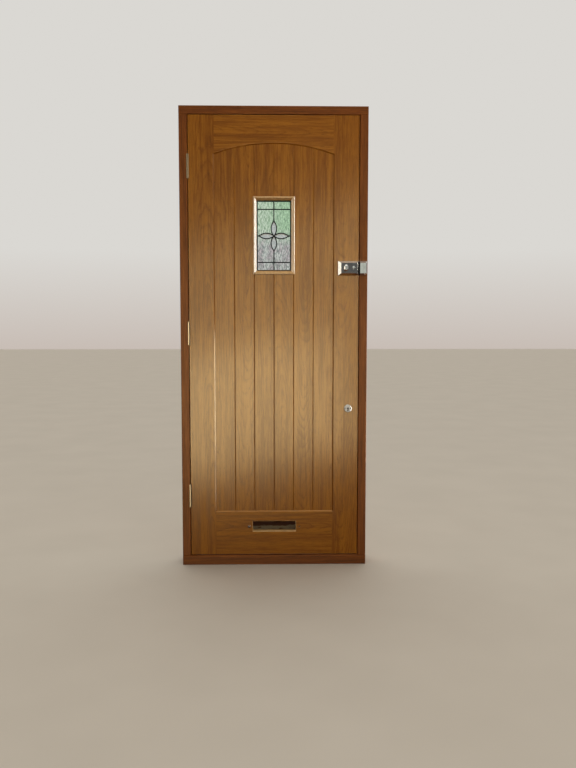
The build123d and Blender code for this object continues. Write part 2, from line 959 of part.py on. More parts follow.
def housing_form(inset):
    """Outer form of the latch housing, or its inside when inset by the wall."""
    left = leaf_x - housing_length + inset
    right = leaf_x - inset
    front = housing_front_y + inset
    back = inner_y + (overrun if inset > 0 else 0)
    roll = housing_roll - inset
    bend = math.sqrt(0.5) * roll
    plan = Polyline(
        (right, front + roll),
        (right, back),
        (left, back),
        (left, inner_y - housing_side),
        (left + housing_bevel, front),
        (right - roll, front),
    )
    corner = ThreePointArc(
        (right - roll, front), (right - roll + bend, front + roll - bend), (right, front + roll)
    )
    half = housing_height / 2 - inset
    top = latch_z + half
    bottom = latch_z - half
    section = [
        (back, bottom),
        (back, top),
        (inner_y - housing_side, top),
        (front, top - housing_edge_bevel),
        (front, bottom + housing_edge_bevel),
        (inner_y - housing_side, bottom),
    ]
    footprint = make_face(plan.edges() + corner.edges())
    length = extrude(Plane.XY.offset(bottom) * footprint, top - bottom, dir=(0, 0, 1))
    return length & prism(section, Plane.YZ, left, right)


def housing_screws():
    """Two small screws that hold the housing to the tabs of its backplate."""
    x = latch_x + backplate_tab_offset
    y = inner_y - backplate_thickness - backplate_tab_height / 2
    half = housing_height / 2
    upper = screw((x, y, latch_z + half), (0, 0, -1), housing_screw)
    lower = screw((x, y, latch_z - half), (0, 0, 1), housing_screw)
    return [upper, lower]


def build_latch_housing():
    """Cast cover of the latch with its recessed panel and openings."""
    housing = housing_form(0) - housing_form(housing_wall)
    recess_low = leaf_x - housing_length + housing_bevel + panel_recess_margin
    recess_high = leaf_x - housing_roll
    recess = Pos((recess_low + recess_high) / 2, latch_z) * RectangleRounded(
        recess_high - recess_low, panel_recess_height, panel_recess_corner
    )
    housing -= slab(recess, housing_front_y - overrun, housing_front_y + panel_recess)
    collar = spindle_radius + latch_clearance
    outside = housing_front_y - overrun
    inside = housing_inside_y + overrun
    housing -= rod((latch_x, outside, latch_z), (latch_x, inside, latch_z), collar)
    slot = Pos(snib_x, latch_z) * SlotOverall(
        snib_travel + 2 * (snib_stem_radius + snib_clearance),
        2 * (snib_stem_radius + snib_clearance),
        rotation=90,
    )
    housing -= slab(slot, outside, inside)
    housing -= latch_bolt_way()
    return housing - housing_screws()


def latch_bolt_way():
    """Opening in the front edge of the housing for the bolt."""
    half_z = latch_bolt_height / 2 + latch_clearance
    half_y = latch_bolt_thickness / 2 + latch_clearance
    middle_y = inner_y - latch_bolt_centre
    return block(
        leaf_x - housing_roll, leaf_x + overrun, middle_y - half_y, middle_y + half_y,
        latch_z - half_z, latch_z + half_z,
    )


def latch_screws():
    """Wood screws that hold the backplate to the stile."""
    head_y = inner_y - backplate_thickness
    left = leaf_x - housing_length + latch_screw_inset
    right = leaf_x - latch_screw_inset
    rise = housing_height / 2 - latch_screw_inset
    places = [(left, -rise), (left, rise), (right, -rise), (right, rise)]
    return [screw((x, head_y, latch_z + z), (0, 1, 0), latch_screw) for x, z in places]


def cylinder_screw_points():
    """Axes of the two connecting screws of the rim cylinder, as (x, z)."""
    half = cylinder_screw_spacing / 2
    return [(latch_x, latch_z - half), (latch_x, latch_z + half)]


def build_cylinder_screws():
    """Connecting screws from the backplate into the back of the cylinder."""
    screws = []
    head_y = inner_y - backplate_thickness
    tip_y = outer_y + cylinder_proud - cylinder_length + cylinder_screw_grip
    for x, z in cylinder_screw_points():
        shank = rod((x, head_y, z), (x, tip_y, z), cylinder_screw_radius)
        head_end = (x, head_y - cylinder_screw_head_height, z)
        screws.append(shank + rod(head_end, (x, head_y, z), cylinder_screw_head_radius))
    return screws


def build_latch_backplate():
    """Backplate with two tabs that stand along the housing's walls."""
    edge = housing_wall + backplate_clearance
    left = leaf_x - housing_length + edge
    right = leaf_x - edge
    half = housing_height / 2 - edge
    y_low = inner_y - backplate_thickness
    plate = block(left, right, y_low, inner_y, latch_z - half, latch_z + half)
    tab_left = latch_x + backplate_tab_offset - backplate_tab_width / 2
    tab_low = y_low - backplate_tab_height
    inner = half - backplate_tab_thickness
    for z_low, z_high in ((-half, -inner), (inner, half)):
        plate += block(
            tab_left, tab_left + backplate_tab_width, tab_low, y_low,
            latch_z + z_low, latch_z + z_high,
        )
    plate -= rod(
        (latch_x, y_low - overrun, latch_z), (latch_x, inner_y + overrun, latch_z),
        follower_radius,
    )
    return plate - latch_screws() - build_cylinder_screws() - housing_screws()


def tail_slot():
    """Slots in the bolt's tail for the follower's hub and for its peg."""
    hub = follower_radius + latch_clearance
    peg = follower_peg_radius + follower_slot_clearance
    hub_slot = Pos(latch_x - latch_throw / 2, latch_z) * SlotOverall(latch_throw + 2 * hub, 2 * hub)
    lowest = follower_arm + peg
    highest = follower_arm * math.cos(follower_swing) - peg
    peg_slot = Pos(latch_x - latch_throw / 2, latch_z - (lowest + highest) / 2) * SlotOverall(
        lowest - highest, 2 * peg, rotation=90
    )
    return hub_slot, peg_slot


def build_latch_bolt():
    """Bevelled bolt, drawn back, with a slotted tail and a spring lug."""
    tip = leaf_x - latch_bolt_setback
    root = tip - latch_bolt_length
    middle_y = inner_y - latch_bolt_centre
    near = middle_y - latch_bolt_thickness / 2
    far = middle_y + latch_bolt_thickness / 2
    half = latch_bolt_height / 2
    plan = [
        (root, near),
        (tip, near),
        (tip, near + latch_bolt_nose),
        (tip - latch_bolt_bevel, far),
        (root, far),
    ]
    bolt = prism(plan, Plane.XY, latch_z - half, latch_z + half)
    hub_slot, peg_slot = tail_slot()
    hub_reach = latch_throw + follower_radius + latch_clearance + latch_tail_margin
    half_tail = latch_tail_height / 2
    tail = Pos((latch_x - hub_reach + root) / 2, latch_z) * Rectangle(
        root - latch_x + hub_reach, latch_tail_height
    )
    lobe_low = latch_z - follower_arm - follower_peg_radius - latch_tail_margin
    lobe_half = follower_peg_radius + follower_slot_clearance + latch_tail_margin
    tail += Pos(latch_x - latch_throw / 2, (lobe_low + latch_z) / 2) * Rectangle(
        2 * lobe_half, latch_z - lobe_low
    )
    lug_x = spring_end_x()
    lug_high = latch_z + spring_rise + spring_radius
    tail += Pos(lug_x + latch_tail_margin / 2, (latch_z + half_tail + lug_high) / 2) * Rectangle(
        latch_tail_margin, lug_high - latch_z - half_tail
    )
    tail -= [hub_slot, peg_slot]
    half_tail_y = latch_tail_thickness / 2
    return bolt + slab(tail, middle_y - half_tail_y, middle_y + half_tail_y)


def spring_end_x():
    """X of the lug that the compressed latch spring presses on."""
    return latch_x + latch_tail_margin


def build_latch_spring():
    """Closed-up coil of the latch spring between the housing and the lug, drawn as a sleeve."""
    y = inner_y - latch_bolt_centre
    z = latch_z + spring_rise
    beyond = latch_bolt_centre + spring_radius - housing_side
    slope = housing_bevel / (housing_depth - housing_wall - housing_side)
    wall_x = leaf_x - housing_length + housing_wall + slope * beyond
    start = (wall_x + latch_clearance, y, z)
    end = (spring_end_x(), y, z)
    return rod(start, end, spring_radius) - rod(start, end, spring_radius - spring_wire)


def build_latch_follower():
    """Hub on the spindle with an arm whose peg drives the bolt's tail."""
    middle_y = inner_y - latch_bolt_centre
    tail_near = middle_y - latch_tail_thickness / 2
    arm_far = tail_near - latch_clearance
    arm_near = arm_far - follower_arm_thickness
    rear = inner_y - follower_rear
    hub = rod((latch_x, arm_near, latch_z), (latch_x, rear, latch_z), follower_radius)
    lean = -follower_swing
    peg_x = latch_x + follower_arm * math.sin(lean)
    peg_z = latch_z - follower_arm * math.cos(lean)
    arm = Pos(0, -follower_arm / 2) * Rectangle(follower_arm_width, follower_arm)
    arm += Pos(0, -follower_arm) * Circle(follower_arm_width / 2)
    arm = Pos(latch_x, latch_z) * Rot(0, 0, math.degrees(lean)) * arm
    follower = hub + slab(arm, arm_near, arm_far)
    peg_end = middle_y + latch_tail_thickness / 2
    follower += rod((peg_x, arm_near, peg_z), (peg_x, peg_end, peg_z), follower_peg_radius)
    pocket_y = rear - follower_pocket_depth
    follower -= rod((latch_x, pocket_y, latch_z), (latch_x, rear, latch_z), follower_pocket_radius)
    return follower - spindle(arm_near, pocket_y)


def spindle(y_low, y_high):
    """Round spindle of the knob between two depths."""
    return rod((latch_x, y_low, latch_z), (latch_x, y_high, latch_z), spindle_radius)


def knob_outline(inset):
    """Oblong outline of the knob in elevation, held in by an inset."""
    grip = SlotOverall(knob_height - 2 * inset, knob_width - 2 * inset, rotation=90)
    return Pos(latch_x, latch_z) * grip


def build_latch_knob():
    """Oblong knob with sloping edges and a dished face, on a round neck and its spindle."""
    base_y = housing_front_y + panel_recess - latch_clearance
    back_y = base_y - knob_neck_length
    front_y = base_y - knob_length
    wide_y = back_y - knob_back_bevel
    bevel_y = front_y + knob_bevel_depth
    knob = rod((latch_x, base_y, latch_z), (latch_x, wide_y, latch_z), knob_neck_radius)
    knob += loft([facing(back_y) * knob_outline(knob_back_bevel), facing(wide_y) * knob_outline(0)])
    knob += slab(knob_outline(0), bevel_y, wide_y)
    knob += loft([facing(bevel_y) * knob_outline(0), facing(front_y) * knob_outline(knob_bevel_width)])
    dish = [
        (0, 0),
        (knob_dish_radius, 0),
        (knob_dish_radius - knob_dish, knob_dish),
        (0, knob_dish),
    ]
    knob -= turned(dish, (latch_x, front_y, latch_z), (0, 1, 0))
    return knob + spindle(base_y, inner_y - follower_rear - follower_pocket_depth)


def build_latch_snib():
    """Sliding button that holds the bolt, drawn in its upper place."""
    z = latch_z + snib_travel / 2
    recess_y = housing_front_y + panel_recess
    button = turned(
        [
            (0, 0),
            (snib_radius, 0),
            (snib_radius, snib_height - snib_arris),
            (snib_radius - snib_arris, snib_height),
            (0, snib_height),
        ],
        (snib_x, recess_y - snib_clearance, z),
        (0, -1, 0),
    )
    plate_y = housing_inside_y + snib_clearance
    stem = rod((snib_x, recess_y - snib_clearance, z), (snib_x, plate_y, z), snib_stem_radius)
    half = snib_plate_width / 2
    plate = block(
        snib_x - half, snib_x + half, plate_y, plate_y + snib_plate_thickness,
        z - snib_plate_length / 2, z + snib_plate_length / 2,
    )
    return button + stem + plate


# Staple


def staple_form(inset):
    """Outer form of the staple, or its pocket when inset by the wall."""
    left = rebate_x + staple_gap - edge_gap - (overrun if inset > 0 else 0)
    right = rebate_x + staple_gap - edge_gap + staple_width - inset
    front = housing_front_y + inset
    back = inner_y - inset
    half = housing_height / 2 - inset
    top = latch_z + half
    bottom = latch_z - half
    section = [
        (back, bottom),
        (back, top),
        (inner_y - housing_side, top),
        (front, top - housing_edge_bevel),
        (front, bottom + housing_edge_bevel),
        (inner_y - housing_side, bottom),
    ]
    plan = [
        (left, front),
        (right - staple_side_bevel, front),
        (right, front + staple_side_bevel),
        (right, back),
        (left, back),
    ]
    return prism(section, Plane.YZ, left, right) & prism(plan, Plane.XY, bottom, top)


def staple_lip():
    """Lip of the staple let into the rebate of the jamb."""
    half = housing_height / 2
    return block(
        rebate_x, rebate_x + staple_lip_thickness, inner_y, inner_y + staple_lip_depth,
        latch_z - half, latch_z + half,
    )


def staple_screws():
    """Screws through the staple's lip and through its back into the jamb."""
    screws = []
    for sign in (-1, 1):
        z = latch_z + sign * staple_screw_rise
        lip_y = inner_y + staple_lip_depth / 2 + frame_arris
        screws.append(screw((rebate_x, lip_y, z), (1, 0, 0), staple_screw))
    back_x = rebate_x + staple_gap - edge_gap + staple_width - staple_back_screw_inset
    back_y = inner_y - staple_wall
    screws.append(screw((back_x, back_y, latch_z), (0, 1, 0), staple_screw))
    return screws


def build_latch_staple():
    """Staple: a box open towards the latch, with a lip in the rebate."""
    left = rebate_x + staple_gap - edge_gap
    half = housing_height / 2
    bridge = block(
        rebate_x, left + staple_wall, inner_y - staple_wall, inner_y,
        latch_z - half, latch_z + half,
    )
    staple = staple_form(0) - staple_form(staple_wall)
    return staple + bridge + staple_lip() - staple_screws()


# Rim cylinder


def build_cylinder_ring():
    """Bevelled ring under the rim of the cylinder, on the outer face."""
    bore = cylinder_radius + latch_clearance
    points = [
        (bore, 0),
        (cylinder_ring_radius, 0),
        (cylinder_ring_radius, cylinder_ring_height - cylinder_ring_bevel),
        (cylinder_ring_radius - cylinder_ring_bevel, cylinder_ring_height),
        (bore, cylinder_ring_height),
    ]
    return turned(points, (latch_x, outer_y, latch_z), (0, 1, 0))


def build_cylinder_body():
    """Body of the cylinder, bored for the plug and tapped for its two screws."""
    front_y = outer_y + cylinder_proud
    back_y = front_y - cylinder_length
    body = rod((latch_x, back_y, latch_z), (latch_x, front_y, latch_z), cylinder_radius)
    bore = plug_radius + plug_clearance
    body -= rod(
        (latch_x, back_y - overrun, latch_z), (latch_x, front_y + overrun, latch_z), bore
    )
    return body - build_cylinder_screws()


def build_cylinder_plug():
    """Plug with its keyway, and the flat bar that reaches the follower."""
    front_y = outer_y + cylinder_proud + plug_proud
    back_y = outer_y + cylinder_proud - cylinder_length
    plug = rod((latch_x, back_y, latch_z), (latch_x, front_y, latch_z), plug_radius)
    half = keyway_width / 2
    plug -= block(
        latch_x - half, latch_x + half, front_y - keyway_depth, front_y + overrun,
        latch_z - keyway_height / 2, latch_z + keyway_height / 2,
    )
    bar_y = inner_y - follower_rear - tailbar_entry
    bar_half = tailbar_thickness / 2
    return plug + block(
        latch_x - bar_half, latch_x + bar_half, bar_y, back_y,
        latch_z - tailbar_width / 2, latch_z + tailbar_width / 2,
    )


# Deadlock


def lock_case_block():
    """Space of the lock case in the stile."""
    half_y = lock_case_thickness / 2
    half_z = lock_case_height / 2
    return block(
        forend_x - lock_case_depth, forend_x, -half_y, half_y, lock_z - half_z, lock_z + half_z
    )


def forend_block():
    """Space of the forend in the edge of the stile."""
    half_y = forend_width / 2
    half_z = forend_length / 2
    return block(forend_x, leaf_x, -half_y, half_y, lock_z - half_z, lock_z + half_z)


def forend_screws():
    """Two screws through the forend into the stile."""
    half = forend_screw_spacing / 2
    return [screw((leaf_x, 0, lock_z + z), (-1, 0, 0), forend_screw) for z in (-half, half)]


def deadbolt_way(x_low, x_high):
    """Running way of the deadbolt between two places."""
    half_y = deadbolt_thickness / 2 + deadbolt_clearance
    half_z = deadbolt_height / 2 + deadbolt_clearance
    return block(x_low, x_high, -half_y, half_y, deadbolt_z - half_z, deadbolt_z + half_z)


def lock_case_halves():
    """Pressed case of the lock and the cap that closes it."""
    half = lock_case_thickness / 2
    wall = lock_case_wall
    case = lock_case_block()
    cap_space = block(
        forend_x - lock_case_depth, forend_x, half - wall, half,
        lock_z - lock_case_height / 2, lock_z + lock_case_height / 2,
    )
    cavity = block(
        forend_x - lock_case_depth + wall, forend_x - wall, -half + wall, half - wall,
        lock_z - lock_case_height / 2 + wall, lock_z + lock_case_height / 2 - wall,
    )
    hole = keyhole(-half - overrun, half + overrun)
    way = deadbolt_way(forend_x - wall - overrun, forend_x + overrun)
    return case - cap_space - cavity - hole - way, cap_space - hole


def build_deadlock_forend():
    """Forend with the opening for the bolt."""
    return forend_block() - deadbolt_way(forend_x - overrun, leaf_x + overrun) - forend_screws()


def build_deadbolt():
    """Deadbolt, drawn back, with its thinner tail."""
    half_y = deadbolt_thickness / 2
    half_z = deadbolt_height / 2
    root = leaf_x - deadbolt_length
    head = block(root, leaf_x, -half_y, half_y, deadbolt_z - half_z, deadbolt_z + half_z)
    tail_y = deadbolt_tail_thickness / 2
    tail_z = deadbolt_tail_height / 2
    return head + block(
        root - deadbolt_tail, root, -tail_y, tail_y, deadbolt_z - tail_z, deadbolt_z + tail_z
    )


def keep_form():
    """Outer form of the keep: its plate and the box behind it."""
    half_y = forend_width / 2
    half_z = forend_length / 2
    plate = block(
        rebate_x, rebate_x + keep_thickness, -half_y, half_y, lock_z - half_z, lock_z + half_z
    )
    grow = keep_clearance + keep_box_wall
    box_y = deadbolt_thickness / 2 + grow
    box_z = deadbolt_height / 2 + grow
    return plate + block(
        rebate_x + keep_thickness, rebate_x + keep_box_depth, -box_y, box_y,
        deadbolt_z - box_z, deadbolt_z + box_z,
    )


def keep_screws():
    """Two screws through the keep into the jamb."""
    half = forend_screw_spacing / 2
    return [screw((rebate_x, 0, lock_z + z), (1, 0, 0), forend_screw) for z in (-half, half)]


def build_deadlock_keep():
    """Box keep that takes the deadbolt."""
    pocket_y = deadbolt_thickness / 2 + keep_clearance
    pocket_z = deadbolt_height / 2 + keep_clearance
    pocket = block(
        rebate_x - overrun, rebate_x + keep_box_depth - keep_box_wall, -pocket_y, pocket_y,
        deadbolt_z - pocket_z, deadbolt_z + pocket_z,
    )
    return keep_form() - pocket - keep_screws()


# Keyhole plates


def escutcheon_screws():
    """Pins of both keyhole plates, inner pair then outer pair."""
    half = escutcheon_screw_spacing / 2
    pins = []
    faces = ((inner_y - escutcheon_thickness, 1), (outer_y + escutcheon_thickness, -1))
    for face_y, direction in faces:
        for x in (key_x - half, key_x + half):
            pins.append(screw((x, face_y, key_z), (0, direction, 0), escutcheon_screw))
    return pins


def build_escutcheon(face_y, direction):
    """Round keyhole plate on one face of the stile."""
    points = [
        (0, 0),
        (escutcheon_radius, 0),
        (escutcheon_radius, escutcheon_thickness - escutcheon_bevel),
        (escutcheon_radius - escutcheon_bevel, escutcheon_thickness),
        (0, escutcheon_thickness),
    ]
    plate = turned(points, (key_x, face_y, key_z), (0, direction, 0))
    reach = escutcheon_thickness + overrun
    hole = keyhole(min(face_y, face_y + direction * reach), max(face_y, face_y + direction * reach))
    return plate - hole - escutcheon_screws()


# Letter plate


def letter_bolts():
    """Two bolts of the letter plate: the left has a domed nut, the right ends in its sunk hole."""
    half = letter_bolt_spacing / 2
    z = letter_bolt_z
    left = rod((-half, inner_y - letter_nut_height, z), (-half, outer_y, z), letter_bolt_radius)
    nut = turned(
        [
            (0, 0),
            (letter_nut_radius, 0),
            (letter_nut_radius, letter_nut_skirt),
            (letter_nut_crown_radius, letter_nut_height),
            (0, letter_nut_height),
        ],
        (-half, inner_y, z),
        (0, -1, 0),
    )
    right = rod((half, inner_y + letter_counterbore_depth, z), (half, outer_y, z), letter_bolt_radius)
    return [left + nut, right]


def letter_bolt_holes():
    """Holes in the bottom rail for the bolts and for the bosses of the plate."""
    half = letter_bolt_spacing / 2
    holes = []
    radius = letter_bolt_radius + letter_bolt_clearance
    for x in (-half, half):
        start = (x, inner_y - overrun, letter_bolt_z)
        end = (x, outer_y + overrun, letter_bolt_z)
        holes.append(rod(start, end, radius))
        boss_y = outer_y - letter_boss_length - letter_bolt_clearance
        boss_radius = letter_boss_radius + letter_bolt_clearance
        holes.append(rod((x, boss_y, letter_bolt_z), end, boss_radius))
    sunk_y = inner_y + letter_counterbore_depth
    sunk_start = (half, inner_y - overrun, letter_bolt_z)
    holes.append(rod(sunk_start, (half, sunk_y, letter_bolt_z), letter_counterbore_radius))
    return holes


def flap_half_width():
    """Half the width of the flap."""
    return slot_half_x - flap_side_gap


def flap_rod_bar(radius):
    """Bar along the flap's axis between the lugs of the plate."""
    half = flap_half_width() + flap_end_gap + flap_lug_thickness
    return rod((-half, flap_axis_y, flap_axis_z), (half, flap_axis_y, flap_axis_z), radius)


def build_letter_plate():
    """Outer letter plate with its aperture, two bosses and two lugs for the flap's rod."""
    half_x = letter_plate_width / 2
    half_z = letter_plate_height / 2
    cut = letter_plate_bevel
    back = block(
        -half_x, half_x, outer_y, outer_y + letter_plate_thickness - cut,
        slot_z - half_z, slot_z + half_z,
    )
    plane_low = facing(outer_y + letter_plate_thickness - cut)
    plane_high = facing(outer_y + letter_plate_thickness)
    wide = Pos(0, slot_z) * Rectangle(2 * half_x, 2 * half_z)
    narrow = Pos(0, slot_z) * Rectangle(2 * (half_x - cut), 2 * (half_z - cut))
    plate = back + loft([plane_low * wide, plane_high * narrow], ruled=True)
    aperture = Pos(0, slot_z) * RectangleRounded(
        letter_aperture_width, letter_aperture_height, letter_aperture_corner
    )
    plate -= slab(aperture, outer_y - overrun, outer_y + letter_plate_thickness + overrun)
    for sign in (-1, 1):
        near = sign * (flap_half_width() + flap_end_gap)
        far = near + sign * flap_lug_thickness
        low, high = min(near, far), max(near, far)
        lug = block(
            low, high, flap_axis_y, outer_y,
            flap_axis_z - flap_lug_radius, flap_axis_z + flap_lug_radius,
        )
        lug += rod((low, flap_axis_y, flap_axis_z), (high, flap_axis_y, flap_axis_z), flap_lug_radius)
        plate += lug
        x = sign * letter_bolt_spacing / 2
        start = (x, outer_y - letter_boss_length, letter_bolt_z)
        plate += rod(start, (x, outer_y, letter_bolt_z), letter_boss_radius)
    return plate - letter_bolts() - flap_rod_bar(flap_rod_radius)


def build_letter_flap():
    """Flap that hangs from its rod behind the aperture and opens inwards."""
    half = flap_half_width()
    back_y = outer_y - flap_plate_gap
    front_y = back_y - flap_thickness
    low = slot_z - slot_half_z + flap_end_gap
    flap = block(-half, half, front_y, back_y, low, flap_axis_z)
    flap += block(-half, half, front_y - flap_lip, front_y, low, low + flap_lip_height)
    eye = rod((-half, flap_axis_y, flap_axis_z), (half, flap_axis_y, flap_axis_z), flap_eye_radius)
    spring_half = flap_spring_length / 2 + flap_end_gap
    window = block(
        -spring_half, spring_half, flap_axis_y - flap_eye_radius - overrun, outer_y,
        flap_axis_z - flap_eye_radius - flap_end_gap, flap_axis_z + flap_eye_radius + overrun,
    )
    flap = flap + eye - window
    return flap - flap_rod_bar(flap_rod_radius + flap_eye_clearance)


def build_flap_spring():
    """Coil of the flap's spring round the rod, with a leg that lies on the flap."""
    half = flap_spring_length / 2
    inner = flap_rod_radius + flap_spring_clearance
    outer = inner + flap_spring_wire
    start = (-half, flap_axis_y, flap_axis_z)
    end = (half, flap_axis_y, flap_axis_z)
    coil = rod(start, end, outer) - rod(start, end, inner)
    leg_y = outer_y - flap_plate_gap - flap_thickness - flap_spring_wire / 2
    leg_x = half - flap_spring_wire
    leg_top = flap_axis_z - inner
    leg_foot = leg_top - flap_spring_leg
    return coil + rod((leg_x, leg_y, leg_top), (leg_x, leg_y, leg_foot), flap_spring_wire / 2)


def build_parts():
    """Every piece of the door by its name."""
    parts = {
        "sill": build_sill(),
        "frame_head": build_head(),
        "hinge_jamb": build_hinge_jamb(),
        "lock_jamb": build_lock_jamb(),
        "frame_stops": build_frame_stops(),
        "weather_seals": build_weather_seals(),
        "hinge_screws_frame": hinge_screws(-1),
        "hinge_screws_door": hinge_screws(1),
        "hinge_stile": build_hinge_stile(),
        "lock_stile": build_lock_stile(),
        "top_rail": build_top_rail(),
        "bottom_rail": build_bottom_rail(),
        "lead_cames": build_lead_cames(),
        "glass_quarries": build_quarries(),
        "bevel_petals": build_petals(),
        "latch_backplate": build_latch_backplate(),
        "latch_housing": build_latch_housing(),
        "latch_screws": latch_screws() + housing_screws(),
        "latch_bolt": build_latch_bolt(),
        "latch_spring": build_latch_spring(),
        "latch_follower": build_latch_follower(),
        "latch_knob": build_latch_knob(),
        "latch_snib": build_latch_snib(),
        "latch_staple": build_latch_staple(),
        "lock_jamb_screws": staple_screws() + keep_screws(),
        "cylinder_ring": build_cylinder_ring(),
        "cylinder_body": build_cylinder_body(),
        "cylinder_plug": build_cylinder_plug(),
        "cylinder_screws": build_cylinder_screws(),
        "deadlock_forend": build_deadlock_forend(),
        "forend_screws": forend_screws(),
        "deadbolt": build_deadbolt(),
        "deadlock_keep": build_deadlock_keep(),
        "inner_escutcheon": build_escutcheon(inner_y, -1),
        "outer_escutcheon": build_escutcheon(outer_y, 1),
        "escutcheon_screws": escutcheon_screws(),
        "letter_plate": build_letter_plate(),
        "letter_plate_bolts": letter_bolts(),
        "letter_flap": build_letter_flap(),
        "flap_rod": flap_rod_bar(flap_rod_radius),
        "flap_spring": build_flap_spring(),
    }
    parts["lock_case"], parts["lock_case_cap"] = lock_case_halves()
    parts["inner_glazing_beads"], parts["outer_glazing_beads"] = build_glazing_beads()
    parts.update(build_boards())
    for name, centre_z in hinge_centres.items():
        parts[f"{name}_hinge_frame_flap"] = build_hinge_flap(centre_z, -1)
        parts[f"{name}_hinge_door_flap"] = build_hinge_flap(centre_z, 1)
        parts[f"{name}_hinge_pin"] = build_hinge_pin(centre_z)
    return parts


os.makedirs("parts", exist_ok=True)
for part_name, part_shape in build_parts().items():
    if isinstance(part_shape, list):
        part_shape = Compound(children=part_shape)
    export_step(part_shape, f"parts/{part_name}.step")
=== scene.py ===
"""Finish, studio and camera of a framed and boarded oak front door in its hardwood frame."""

from __future__ import annotations

import json
import logging
import math
import random
from dataclasses import dataclass
from enum import Enum
from itertools import chain
from typing import Any, Iterable, Sequence

import bmesh
import bpy
from mathutils import Matrix, Vector, noise

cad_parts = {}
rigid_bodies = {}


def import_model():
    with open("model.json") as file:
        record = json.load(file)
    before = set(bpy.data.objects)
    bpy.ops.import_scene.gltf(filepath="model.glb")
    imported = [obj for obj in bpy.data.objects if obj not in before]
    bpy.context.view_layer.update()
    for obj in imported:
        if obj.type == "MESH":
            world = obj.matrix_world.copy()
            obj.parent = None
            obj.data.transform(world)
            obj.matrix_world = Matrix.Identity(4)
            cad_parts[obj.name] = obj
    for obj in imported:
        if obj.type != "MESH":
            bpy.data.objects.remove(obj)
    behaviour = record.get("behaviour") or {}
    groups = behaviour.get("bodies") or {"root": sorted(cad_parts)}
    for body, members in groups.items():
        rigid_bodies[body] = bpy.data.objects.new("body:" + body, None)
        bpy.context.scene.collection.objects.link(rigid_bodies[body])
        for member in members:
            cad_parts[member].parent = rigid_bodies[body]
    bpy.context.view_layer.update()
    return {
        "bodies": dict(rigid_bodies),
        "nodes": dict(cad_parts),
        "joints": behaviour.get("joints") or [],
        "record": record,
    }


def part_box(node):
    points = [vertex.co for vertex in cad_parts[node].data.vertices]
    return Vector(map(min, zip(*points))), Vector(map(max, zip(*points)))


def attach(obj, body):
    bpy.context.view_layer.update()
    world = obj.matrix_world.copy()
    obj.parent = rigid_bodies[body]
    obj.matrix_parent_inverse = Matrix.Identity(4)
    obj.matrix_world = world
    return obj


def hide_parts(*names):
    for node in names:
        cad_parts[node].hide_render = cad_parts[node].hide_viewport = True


LOG = logging.getLogger("front_door")
MM = 0.001
# Points closer than this are one point, faces that meet flatter than this are one face, and edges
# sharper than this are arrises
WELD = 0.002 * MM
FLAT_DEG = 0.6
SHARP_DEG = 28.0
# Part of a noise's range that holds nearly all of its values, and values to both sides of zero
NOISE_SPAN = (0.3, 0.7)
BOTH_WAYS = (-1.0, 1.0)
BLACK = "#000000"
# A point of a screw belongs to its end within this distance, and the shank's radius is between
# these shares of the head's
END_SLACK = 0.05 * MM
SHANK_SHARES = (0.3, 0.8)
RIGHT = Vector((1.0, 0.0, 0.0))
OUTWARDS = Vector((0.0, 1.0, 0.0))
COIL_STEPS = 20
WIRE_SIDES = 8

Tree = bpy.types.NodeTree
Signal = bpy.types.NodeSocket
Material = bpy.types.Material
Piece = bpy.types.Object
Shape = bmesh.types.BMesh
Face = bmesh.types.BMFace
Vert = bmesh.types.BMVert
Span = tuple[float, float]


class Grain(Enum):
    """Way that the grain of a wooden member runs."""

    UPRIGHT = "upright"
    LEVEL = "level"


class Reach(Enum):
    """What a studio lamp lights."""

    EVERYTHING = "everything"
    DOOR = "door"
    TIMBER = "timber"
    BEADS = "beads"
    LATCH_FACES = "latch_faces"
    HINGES = "hinges"

# Small helpers


def to_linear(hex_colour: str) -> tuple[float, float, float, float]:
    """Turn an sRGB hex colour to linear light.

    Args:
        hex_colour: Colour such as "#A87438".

    Returns:
        Linear red, green, blue and an alpha of one.
    """
    parts = [int(hex_colour[i : i + 2], 16) / 255 for i in (1, 3, 5)]
    red, green, blue = [
        p / 12.92 if p <= 0.04045 else ((p + 0.055) / 1.055) ** 2.4 for p in parts
    ]
    return red, green, blue, 1.0


def blend_hex(first: str, second: str, share: float) -> str:
    """Mix two sRGB hex colours.

    Args:
        first: Colour at a share of zero.
        second: Colour at a share of one.
        share: Share of the second colour.

    Returns:
        The mixed colour as hex.
    """
    mixed = []
    for i in (1, 3, 5):
        low, high = int(first[i : i + 2], 16), int(second[i : i + 2], 16)
        mixed.append(min(255, max(0, round(low + (high - low) * share))))
    return "#" + "".join(f"{part:02X}" for part in mixed)


def feed(tree: Tree, node: bpy.types.Node, inputs: dict[str | int, Any]) -> None:
    """Fill inputs of a node.

    Args:
        tree: Node tree that holds the node.
        node: Node whose inputs are filled.
        inputs: Input names or numbers, each with a value or with the socket that feeds it.
    """
    for key, value in inputs.items():
        if isinstance(value, Signal):
            tree.links.new(value, node.inputs[key])
        else:
            node.inputs[key].default_value = value


def add_node(
    tree: Tree,
    kind: str,
    inputs: dict[str | int, Any] | None = None,
    stops: Sequence[tuple[float, str]] = (),
    **settings: Any,
) -> bpy.types.Node:
    """Add one shader node, set it up and fill its inputs.

    Args:
        tree: Node tree that takes the node.
        kind: Node type without its "ShaderNode" prefix.
        inputs: Input names or numbers, each with a value or with the socket that feeds it.
        stops: Places and sRGB hex colours, where the node is a colour ramp.
        settings: Attributes of the node, such as its operation.

    Returns:
        The new node.
    """
    node = tree.nodes.new(f"ShaderNode{kind}")
    for name, value in settings.items():
        setattr(node, name, value)
    feed(tree, node, inputs or {})
    for number, (place, colour) in enumerate(stops):
        elements = node.color_ramp.elements
        element = elements[number] if number < len(elements) else elements.new(1.0)
        element.position = place
        element.color = to_linear(colour)
    return node


